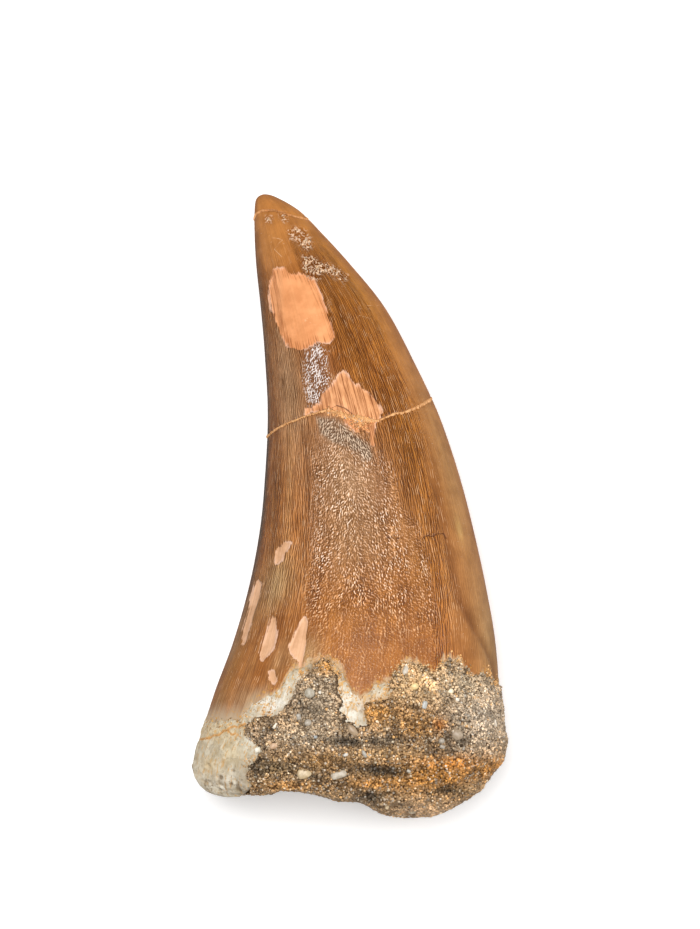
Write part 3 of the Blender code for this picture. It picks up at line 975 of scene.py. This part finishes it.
UNDER_CRUST = (
    (-16.2, -40.0), (-15.6, -34.0), (-16.4, -30.0), (-15.8, -27.4), (-14.0, -26.0), (-11.0, -24.4),
    (-8.0, -24.6), (-5.0, -22.0), (-2.0, -21.0), (0.5, -22.8), (3.5, -23.4), (6.0, -21.0), (9.0, -20.2),
    (12.0, -21.8), (15.0, -21.0), (17.6, -21.9), (26.0, -21.9), (26.0, -40.0),
)
WHITE_WINDOWS = (
    ((-1.1, -19.4), (0.2, -20.4), (1.0, -22.4), (1.5, -23.3), (1.9, -24.8), (1.9, -26.0), (0.7, -26.1),
     (-0.5, -25.6), (-0.9, -24.8), (-0.9, -23.3), (-1.5, -21.4)),
)
# Hollows in the crust: x and y, half length, half width, turn of the length in degrees, depth
HOLLOWS = (
    (-0.4, -28.0, 4.6, 0.45, -4, 0.55),
    (-7.2, -30.5, 0.45, 0.4, 0, 0.8),
    (3.7, -31.3, 3.2, 0.6, -6, 0.5),
    (2.1, -34.2, 1.4, 0.7, -12, 0.5),
    (10.6, -29.3, 3.0, 0.3, 4, 0.3),
    (12.8, -33.2, 2.6, 0.6, 24, 0.35),
    (-10.6, -30.4, 1.4, 0.4, 20, 0.4),
    (-5.6, -32.4, 2.6, 0.35, 8, 0.35),
)
# Where the crust's lower end lies as it is seen from above, x and y
SEEN_END = ((-17.0, -33.0), (-15.5, -33.8), (-14.0, -34.5), (-12.0, -34.5), (-9.6, -34.3), (-8.4, -33.8),
            (-6.0, -33.9), (-4.0, -34.3), (-2.4, -34.8), (-1.2, -35.2), (1.2, -35.3), (2.4, -35.9),
            (3.6, -36.8), (4.8, -37.2), (7.2, -37.5), (9.6, -37.3), (10.8, -36.9), (12.0, -36.3),
            (13.2, -35.5), (14.4, -34.9), (15.6, -34.0), (16.8, -32.8), (18.0, -31.3), (18.8, -30.0),
            (19.4, -28.0))
CRUST_THIN = 0.18
CRUST_SUNK = 0.6


def crust_point(turn, along):
    """The smooth outside of the crust at a turn round its section and a number along the list of
    sections."""
    edges = smooth_curve(np.arange(len(CRUST_SECTIONS), dtype=float), CRUST_SECTIONS, along)
    return section_point(edges[..., 1:], turn, TIP_Y - edges[..., 0])


def crust_cover(x, y, turn):
    """How far inside the crust's outlines a point lies, less where the white dentine shows."""
    above = np.minimum(inside(UPPER_CRUST, x, y), -np.max([inside(w, x, y) for w in WHITE_WINDOWS], axis=0))
    return np.where(np.sin(turn) > 0, above, inside(UNDER_CRUST, x, y))


def spun(x, y, degrees):
    """A place turned about the origin: its sines and cosines times x and y, added and taken away."""
    c, s = math.cos(math.radians(degrees)), math.sin(math.radians(degrees))
    return x * c - y * s, x * s + y * c


def crust_surface(rows, columns):
    """The sections' surface, raised where it would sink under the tooth and sunk under the tooth outside
    the crust's outlines, then roughened by lumps of four sizes and dented by the hollows. Its light is a
    factor on the colour, less in its low places: dirt, and painted shade."""
    last = len(CRUST_SECTIONS) - 1
    turn, along = np.meshgrid(np.linspace(-0.5 * math.pi, 1.5 * math.pi, columns, endpoint=False),
                              np.linspace(0, last, rows + 2)[1:-1])
    smooth = crust_point(turn, along)
    normal = outward(crust_point, turn, np.clip(along, 0.02, last - 0.02))
    x, y = smooth[..., 0], smooth[..., 1]
    edge_noise = 0.35 * waves(x * 1.7 + 60, y * 1.7 + 90, 51) + 0.2 * waves(x * 4 + 60, y * 4 + 90, 52)
    cover = crust_cover(x, y, turn) + edge_noise
    depth = np.clip(TIP_Y - y, 1, ROOT_LAST_DEPTH)
    over_tooth = np.einsum("ijk,ijk->ij", smooth - tooth_point(turn, np.sqrt(depth)), normal)
    past_end = ease(TIP_Y - y, ROOT_LAST_DEPTH - 0.3, ROOT_LAST_DEPTH + 0.6)
    front = ease(np.cos(turn), 0.8, 0.98) * (1 - ease(TIP_Y - y, 66, 70))
    wanted = CRUST_THIN + 0.5 * ease(cover, 0, 2) * (1 - front)
    raised = np.maximum(0, wanted - over_tooth) * (1 - past_end)
    sunk = -over_tooth - CRUST_SUNK
    rough = (
        0.26 * lumps(smooth, 3.2, 61) + 0.26 * lumps(smooth, 1.3, 64)
        + 0.18 * lumps(smooth, 0.6, 67) + 0.06 * lumps(smooth, 0.33, 70)
    )
    for hx, hy, long, wide, spin, deep in HOLLOWS:
        u, v = spun(x - hx, y - hy, -spin)
        rough -= deep * np.exp(-((u / long) ** 2) - (v / wide) ** 2) * (np.sin(turn) > 0)
    shown = ease(cover, -0.15, 0.3)
    height = shown * (raised + rough * (0.4 + 0.6 * ease(cover, 0, 1.5)) * (1 - 0.6 * front) - 0.25 * front)
    height += (1 - shown) * np.minimum(sunk, -CRUST_SUNK)
    points = smooth + normal * height[..., None]
    points[..., 1] = held_above(points[..., 1], points[..., 0] + 0.3 * lumps(points, 1.5, 74), SEEN_END)
    points[..., 2] = np.maximum(points[..., 2], 0)
    return turn, points, cover, 0.42 + 0.62 * ease(rough, -0.5, 0.1)


# Clouds of colour in the sand: x and y of the middle, half widths of both, colour, strength
SAND_GROUND = linear(152, 124, 90)
SAND_CLOUDS = (
    (-3.6, -23.4, 3.6, 4.4, (180, 161, 136), 0.9),
    (-5.5, -27.2, 4.5, 1.6, (174, 154, 128), 0.8),
    (-11.0, -27.8, 1.6, 1.6, (164, 140, 112), 0.9),
    (15.5, -25.4, 4.4, 4.6, (176, 159, 138), 0.95),
    (13.0, -21.4, 3.2, 1.8, (198, 178, 148), 0.8),
    (8.2, -20.8, 3.0, 2.2, (232, 196, 146), 0.85),
    (8.2, -26.4, 2.8, 2.2, (152, 110, 56), 0.85),
    (3.0, -24.6, 2.6, 1.2, (196, 142, 70), 0.85),
    (-2.8, -19.2, 1.4, 0.8, (186, 134, 62), 0.85),
    (10.7, -26.1, 0.7, 0.7, (192, 124, 54), 0.9),
    # This dark cloud and the next lie in the long hollow: painted shade.
    (4.0, -27.9, 3.4, 0.6, (104, 90, 72), 0.9),
    (-1.0, -28.0, 3.6, 0.5, (104, 92, 76), 0.8),
    (4.0, -29.5, 3.6, 0.6, (176, 144, 100), 0.7),
    (-3.0, -30.4, 3.6, 1.3, (150, 112, 62), 0.8),
    (-9.4, -31.2, 4.0, 1.2, (90, 74, 50), 0.9),
    (-7.5, -33.4, 5.0, 0.7, (164, 120, 64), 0.8),
    (10.2, -32.2, 7.6, 2.0, (173, 119, 47), 0.95),
    (12.0, -30.6, 3.0, 0.8, (178, 116, 40), 0.85),
    (17.2, -31.4, 2.6, 1.2, (178, 122, 50), 0.85),
    # This dark cloud, and the dark ones at -34.0 and -34.7, lie in hollows: painted shade.
    (3.7, -31.7, 4.2, 0.7, (86, 69, 44), 0.9),
    (3.0, -33.1, 3.2, 0.6, (190, 136, 66), 0.8),
    (12.3, -34.0, 3.0, 0.5, (88, 68, 38), 0.85),
    (2.4, -34.7, 2.0, 0.6, (82, 68, 50), 0.9),
    (8.2, -36.4, 3.2, 0.9, (206, 170, 130), 0.9),
    (15.6, -33.6, 2.2, 0.8, (180, 148, 108), 0.8),
)
# light darkens the crust's low places, the hollows most: dirt, and painted shade.
turn, points, cover, light = crust_surface(220, 440)
sand_stain_and_shade = stained(SAND_GROUND, SAND_CLOUDS, points[..., 0], points[..., 1])
sand_crust = capped_piece("sand_crust", points, {"stain": sand_stain_and_shade * light[..., None]})

cement, place = new_finish("sand_cement")
patches = cloudy(place, 500.0, 3.0, 0.6)
cement_grit = put(cement.node_tree, "ShaderNodeTexVoronoi",
                  {"Vector": place, "Scale": 4200.0, "Randomness": 1.0})
grit_height = between(Field(cement_grit.outputs["Distance"]), 0.25, 0.6, 1.0, 0.0)
grit_light = parts_of(Field(cement_grit.outputs["Color"]))[0]
colour = mark_of(cement, "stain", "Color")
colour = toned(colour, between(patches, 0.35, 0.65), (0.6, 0.55, 0.5), (1.1, 1.1, 1.1))
colour = toned(colour, grit_light, (0.5, 0.47, 0.43), (1.2, 1.17, 1.12))
# Darker in the gaps between the grit: darker cement, and painted shade.
colour = toned(colour, grit_height, (0.42, 0.38, 0.34), WHITE)
set_shader(cement, {"Base Color": colour, "Normal": bumped(grit_height, 1.0, 0.00012), "Roughness": 0.75,
                    "Specular IOR Level": 0.3})
fit(sand_crust, cement, "matrix")

# The crust's coarse sand: grains of clear, cream, grey and ochre phosphate, each about a quarter of a
# millimetre across and half sunk in the cement. They have twenty faces each and are joined in five pieces.

GRAIN_COUNT = 45000
GRAIN_PIECES = 5
GRAIN_RADII = (0.085, 0.21)
UNDERSIDE_SHARE = 0.42


def scatter(points, weights, number, rng):
    """Random points on a grid's surface, as many in each cell as its area times its weight asks, with the
    cell's normal and number. Each lies at random shares of the cell's two sides."""
    here, beside = points[:-1], np.roll(points, -1, axis=1)[:-1]
    below, far = points[1:], np.roll(points, -1, axis=1)[1:]
    facing = np.cross(far - here, beside - below)
    area = np.linalg.norm(facing, axis=-1)
    chance = np.cumsum((area * weights[:-1]).ravel())
    cell = np.searchsorted(chance, rng.uniform(0, chance[-1], number))
    u, v = rng.uniform(0, 1, (2, number, 1))
    a, b, c, d = (grid.reshape(-1, 3)[cell] for grid in (here, beside, below, far))
    spot = (a * (1 - u) + b * u) * (1 - v) + (c * (1 - u) + d * u) * v
    normal = facing.reshape(-1, 3)[cell] / np.maximum(area.ravel()[cell, None], 1e-9)
    return spot, normal, cell


def random_turns(number, rng):
    """Rotation matrices spread evenly over all turns, from random unit quaternions."""
    q = rng.normal(size=(number, 4))
    w, x, y, z = (q / np.linalg.norm(q, axis=1, keepdims=True)).T
    return np.stack((
        1 - 2 * (y * y + z * z), 2 * (x * y - z * w), 2 * (x * z + y * w),
        2 * (x * y + z * w), 1 - 2 * (x * x + z * z), 2 * (y * z - x * w),
        2 * (x * z - y * w), 2 * (y * z + x * w), 1 - 2 * (x * x + y * y),
    ), -1).reshape(-1, 3, 3)


def make_grains(name, centres, radii, tones, rng, sharp=None):
    """Icosahedra, each stretched and turned at random. A corner is at each plus and minus of (0, 1,
    golden ratio) and of its two shifts, and each face joins three corners that are an edge apart."""
    golden = (1 + math.sqrt(5)) / 2
    corner = np.array([np.roll((0, a, b * golden), k) for k in range(3) for a in (-1, 1) for b in (-1, 1)])
    apart = np.linalg.norm(corner[:, None] - corner[None], axis=-1)
    triples = np.array([(i, j, k) for i in range(12) for j in range(i + 1, 12) for k in range(j + 1, 12)
                        if max(apart[i, j], apart[j, k], apart[i, k]) < 2.1])
    a, b, c = (corner[triples[:, k]] for k in range(3))
    inwards = np.einsum("ij,ij->i", a, np.cross(b, c)) <= 0
    triples[inwards] = triples[inwards][:, ::-1]
    corner = corner / np.linalg.norm(corner[0])
    stretch = rng.uniform(0.7, 1.25, (len(centres), 1, 3))
    shapes = np.einsum("nij,nkj->nki", random_turns(len(centres), rng), corner * stretch)
    points = centres[:, None] + shapes * radii[:, None, None]
    faces = (triples[None] + 12 * np.arange(len(centres))[:, None, None]).reshape(-1, 3)
    return make_piece(name, points.reshape(-1, 3), [faces], {"tone": np.repeat(tones, 12, axis=0)}, sharp)


def grain_radii(number, rng):
    """Radii between the two limits, most of them near the small one, as in sand."""
    small, large = GRAIN_RADII
    return small + (large - small) * rng.uniform(0, 1, number) ** 1.8


def grain_tones(ground, rng):
    """Each grain's colour: its ground's, lighter or darker, and for some cream, golden or grey."""
    kinds = np.array((linear(244, 228, 200), linear(228, 176, 108), linear(188, 182, 172)))
    drawn = rng.choice(len(kinds), len(ground), p=(0.4, 0.2, 0.4))
    share = 0.75 * ease(rng.uniform(0, 1, (len(ground), 1)), 0.78, 1.0)
    light = np.exp(rng.normal(0, 0.34, (len(ground), 1)))
    bright = 1 + 0.6 * ease(rng.uniform(0, 1, (len(ground), 1)), 0.6, 1.0)
    tones = (ground * bright * (1 - share) + kinds[drawn] * share) * light
    return tones / np.maximum(tones.max(axis=1, keepdims=True) / 0.9, 1)


rng = np.random.default_rng(7)
weights = ease(cover, 0.0, 0.6) * (points[..., 2] > 0.02)
weights *= np.where(np.sin(turn) > -0.1, 1, UNDERSIDE_SHARE)
spots, facing, cell = scatter(points, weights, GRAIN_COUNT, rng)
radii = grain_radii(GRAIN_COUNT, rng)
centres = spots - facing * (radii * rng.uniform(0.0, 0.7, GRAIN_COUNT))[:, None]
centres[:, 2] = np.maximum(centres[:, 2], radii * 1.25)
tones = grain_tones(stained(SAND_GROUND, SAND_CLOUDS, centres[:, 0], centres[:, 1]), rng)
# Each grain takes the crust's darkening under it, dirt and painted shade, and random clumps of tone.
tones *= (1.06 * light.ravel()[cell] * np.exp(0.36 * lumps(centres, 0.7, 77)))[:, None]

sand, place = new_finish("sand_grain")
grit = cloudy(place, 6000.0, 2.0, 0.6)
colour = mark_of(sand, "tone", "Color")
colour = toned(colour, between(grit, 0.35, 0.65), (0.75, 0.7, 0.64), (1.15, 1.15, 1.15))
set_shader(sand, {"Base Color": colour, "Roughness": between(grit, 0.3, 0.7, 0.2, 0.5)})
for number, chosen in enumerate(np.array_split(np.arange(GRAIN_COUNT), GRAIN_PIECES), 1):
    name = f"sand_grains_{number}"
    fit(make_grains(name, centres[chosen], radii[chosen], tones[chosen], rng), sand, "matrix")

# Loose grains stick to the tooth past the crust's edge, crumbs of ochre filler fill the middle break's
# gap, and two scabs of pale crust are left below the tip. All are grains on the tooth's own surface.

STRAY_COUNT = 2600
SEAM_CRUMB_COUNT = 380
TIP_CRUMB_COUNT = 420

tooth_turn, tooth_along = np.meshgrid(np.linspace(0, 2 * math.pi, 720, endpoint=False),
                                      np.linspace(1.3, 8.4, 420))
tooth_skin = tooth_point(tooth_turn, tooth_along)
skin_x, skin_y, skin_depth = tooth_skin[..., 0], tooth_skin[..., 1], tooth_along**2
skin_cover = crust_cover(skin_x, skin_y, tooth_turn)
skin_degrees = np.degrees(tooth_turn)
below_break = skin_depth - round_the_tooth(MIDDLE_BREAK, tooth_turn)
stray_weights = ease(skin_cover, -1.7, 0.1) ** 2 * (skin_cover < 0.5) * (skin_depth > 50)
stray_weights *= 0.15 + ease(waves(skin_x * 0.9 + 60, skin_y * 0.9 + 60, 97), -0.1, 0.4)
seam_weights = np.exp(-((below_break / 0.32) ** 2)) * band(skin_degrees, 79, 106, 3)
seam_weights += 0.6 * np.exp(-(((below_break - 0.8) / 0.5) ** 2) - ((skin_degrees - 87) / 5) ** 2)
tip_weights = ease(on_faces(PITTED_FIELDS, UNDER_FLAKES[2:], skin_x, skin_y, tooth_turn), -0.1, 0.15)
tip_weights *= waves(skin_x * 2.2 + 60, skin_y * 2.2 + 60, 91) > -0.15


def stuck_grains(name, weights, number, ground, node, seed):
    """Grains scattered over the tooth's surface where the weights ask, half sunk in it."""
    rng = np.random.default_rng(seed)
    spots, facing, cell = scatter(tooth_skin, weights, number, rng)
    radii = grain_radii(number, rng) * 0.7
    tones = grain_tones(np.tile(ground, (number, 1)), rng)
    fit(make_grains(name, spots + facing * (radii * 0.2)[:, None], radii, tones, rng), sand, node)


stuck_grains("stray_grains", stray_weights, STRAY_COUNT, linear(196, 152, 96), "matrix", 93)
stuck_grains("seam_crumbs", seam_weights, SEAM_CRUMB_COUNT, linear(214, 156, 98), "tooth", 94)
stuck_grains("tip_scabs", tip_weights, TIP_CRUMB_COUNT, linear(210, 178, 146), "tooth", 95)

# Pebbles, bone chips and shell bits set in the crust's face, each its own size, shape and colour.

# x and y, half sizes, turn in degrees, number of corners where it isn't round, colour
PEBBLES = (
    (-4.8, -22.3, (0.62, 0.60, 0.35), 0, 0, (178, 170, 154)),
    (-8.9, -26.2, (0.20, 0.44, 0.16), -35, 4, (240, 230, 212)),
    (-11.0, -29.1, (0.40, 0.36, 0.22), 12, 4, (236, 230, 214)),
    (-5.5, -31.9, (0.85, 0.62, 0.20), 182, 3, (196, 174, 138)),
    (-1.3, -32.0, (1.08, 0.48, 0.22), 18, 4, (184, 172, 154)),
    (8.9, -23.7, (0.32, 0.52, 0.18), -12, 4, (182, 184, 182)),
    (12.8, -27.3, (0.70, 0.66, 0.30), 0, 0, (164, 146, 124)),
    (10.9, -28.0, (0.38, 0.34, 0.25), 30, 0, (166, 156, 142)),
    (0.3, -26.7, (0.80, 0.46, 0.20), -50, 0, (168, 144, 116)),
    (12.0, -22.1, (0.38, 0.30, 0.22), 24, 3, (244, 230, 200)),
    (12.8, -23.1, (0.26, 0.24, 0.18), 0, 4, (244, 236, 220)),
    (6.6, -19.6, (0.34, 0.60, 0.20), -14, 0, (204, 194, 178)),
    (7.7, -21.5, (0.52, 0.40, 0.26), 20, 0, (234, 206, 150)),
    (1.7, -29.5, (0.22, 0.52, 0.18), 30, 0, (176, 170, 160)),
    (-0.5, -29.6, (0.34, 0.22, 0.16), 30, 3, (196, 190, 180)),
    (11.0, -28.7, (0.36, 0.26, 0.20), -20, 4, (168, 158, 144)),
    (17.4, -26.0, (0.12, 0.50, 0.14), 10, 0, (224, 214, 200)),
    (7.0, -31.6, (0.28, 0.20, 0.16), -30, 4, (190, 184, 172)),
    (7.4, -36.4, (0.50, 0.42, 0.26), 0, 0, (182, 166, 142)),
    (4.4, -35.9, (0.28, 0.34, 0.22), 0, 0, (222, 200, 164)),
    (-6.1, -25.1, (0.30, 0.42, 0.18), 10, 4, (168, 160, 148)),
    (-5.0, -25.8, (0.46, 0.40, 0.20), 40, 0, (172, 162, 148)),
    (-4.1, -27.5, (0.24, 0.20, 0.16), 0, 4, (164, 170, 172)),
    (-9.1, -28.6, (0.50, 0.36, 0.22), 15, 0, (206, 172, 140)),
    (-3.6, -22.2, (0.18, 0.22, 0.14), 0, 3, (226, 218, 204)),
)
PEBBLE_LIFT = 0.22
HIDDEN_PEBBLE_COUNT = 46


def pebble(x, y, sizes, turn, corners, colour, ground):
    """A stone on the ground point nearest to x and y. Its outline's reach is 1 where it is round, and
    where it has n corners it is the superformula of n/4 turns. It is a half ellipsoid above and below
    that outline."""
    under = np.argmin((ground[:, 0] - x) ** 2 + (ground[:, 1] - y) ** 2)
    around, up = np.meshgrid(np.linspace(0, 2 * math.pi, 22, endpoint=False),
                             np.linspace(-0.5 * math.pi, 0.5 * math.pi, 13)[1:-1])
    reach, flatness = 1.0, 1.0
    if corners:
        power = 5.0
        quarter = corners * around / 4
        reach = np.abs(np.cos(quarter)) ** power + np.abs(np.sin(quarter)) ** power
        reach, flatness = reach ** (-1 / power) / 1.1, 0.45
    drawn_in = reach * np.cos(up) ** flatness
    local = np.stack((sizes[0] * drawn_in * np.cos(around), sizes[1] * drawn_in * np.sin(around),
                      sizes[2] * np.sin(up)), -1)
    local += 0.05 * min(sizes) * lumps(local + under, 0.25, 81)[..., None]
    local[..., 0], local[..., 1] = spun(local[..., 0], local[..., 1], turn)
    centre = np.array((x, y, ground[under, 2] + 0.35 * sizes[2] + PEBBLE_LIFT))
    tones = np.tile(linear(*colour), (around.size + 2, 1))
    return capped(local + centre), around_faces(*around.shape), tones


upper_ground = points[(np.sin(turn) > 0.15) & (cover > 0.1)]
made = [pebble(*row, upper_ground) for row in PEBBLES]
first = np.cumsum([0] + [len(m[0]) for m in made])
pebble_faces = [f + start for m, start in zip(made, first) for f in m[1]]
pebbles = make_piece("pebbles", np.concatenate([m[0] for m in made]), pebble_faces,
                     {"tone": np.concatenate([m[2] for m in made])}, 50)
rng = np.random.default_rng(17)
hidden_weights = ease(cover, 0.4, 0.8) * (np.sin(turn) < -0.1)
hidden_weights *= (points[..., 2] > 0.4) * (points[..., 1] > -35.5)
spots, facing, cell = scatter(points, hidden_weights, HIDDEN_PEBBLE_COUNT, rng)
radii = rng.uniform(0.3, 0.75, HIDDEN_PEBBLE_COUNT)
hidden_tones = grain_tones(np.tile(linear(190, 172, 146), (HIDDEN_PEBBLE_COUNT, 1)), rng)
hidden_pebbles = make_grains("side_pebbles", spots, radii, hidden_tones, rng)

stone, place = new_finish("pebble_stone")
grit = cloudy(place, 2600.0, 4.0, 0.6)
colour = mark_of(stone, "tone", "Color")
colour = toned(colour, between(grit, 0.35, 0.65), (0.78, 0.74, 0.68), (1.08, 1.08, 1.08))
set_shader(stone, {"Base Color": colour, "Normal": bumped(grit, 0.5, 0.00006), "Roughness": 0.4})
for piece in (pebbles, hidden_pebbles):
    fit(piece, stone, "matrix")

# The floor is a plain white sheet, which glows a little so that it stays pale, and isn't mirrored in the
# gloss. A soft box overhead makes the glints, and one on the right and a pale studio round about give the
# rest of the light.

FLOOR_SIZE = 1.2
FLOOR_GLOW = 0.34
STUDIO_LIGHT = 0.3

bpy.ops.mesh.primitive_plane_add(size=FLOOR_SIZE, location=(0, 0, 0))
floor = bpy.context.object
floor.name = "floor"
paper = new_finish("white_paper")[0]
set_shader(paper, {"Base Color": (0.92, 0.92, 0.92, 1.0), "Roughness": 0.9, "Specular IOR Level": 0.1,
                   "Emission Color": (*WHITE, 1.0), "Emission Strength": FLOOR_GLOW})
floor.data.materials.append(paper)
floor.visible_glossy = False

studio = bpy.data.worlds.new("studio")
bpy.context.scene.world = studio
studio.use_nodes = True
set_sockets(studio.node_tree.nodes["Background"], {"Color": (*WHITE, 1.0), "Strength": STUDIO_LIGHT})


def soft_box(name, at, size, power):
    """A square area light that faces the tooth's middle."""
    data = bpy.data.lights.new(name, "AREA")
    data.shape = "SQUARE"
    data.size = size
    data.energy = power
    lamp = bpy.data.objects.new(name, data)
    lamp.location = at
    way = -np.array(at) / np.linalg.norm(at)
    lamp.rotation_euler = (math.acos(-way[2]), 0, math.atan2(way[1], way[0]) - math.pi / 2)
    bpy.context.scene.collection.objects.link(lamp)


soft_box("top_box", (-0.05, 0.05, 0.50), 0.18, 2.05)
soft_box("right_box", (0.34, 0.05, 0.36), 0.30, 0.95)

# The camera looks straight down at the tooth through a long lens, as in the photograph. The scale is the
# photograph's at the height of the tooth's outline, and the camera stands over the middle of its frame.

PHOTO_MM_PER_PIXEL = 0.12
PHOTO_HEIGHT = 929
CAMERA_HEIGHT = 1.8
CAMERA_Y = 0.00492
OUTLINE_HEIGHT = 0.010

camera_data = bpy.data.cameras.new("camera")
camera = bpy.data.objects.new("camera", camera_data)
bpy.context.scene.collection.objects.link(camera)
bpy.context.scene.camera = camera
camera.location = (0, CAMERA_Y, CAMERA_HEIGHT)
seen_height = PHOTO_HEIGHT * PHOTO_MM_PER_PIXEL * MM
camera_data.lens = camera_data.sensor_width * (CAMERA_HEIGHT - OUTLINE_HEIGHT) / seen_height
bpy.context.scene.view_settings.view_transform = "Standard"
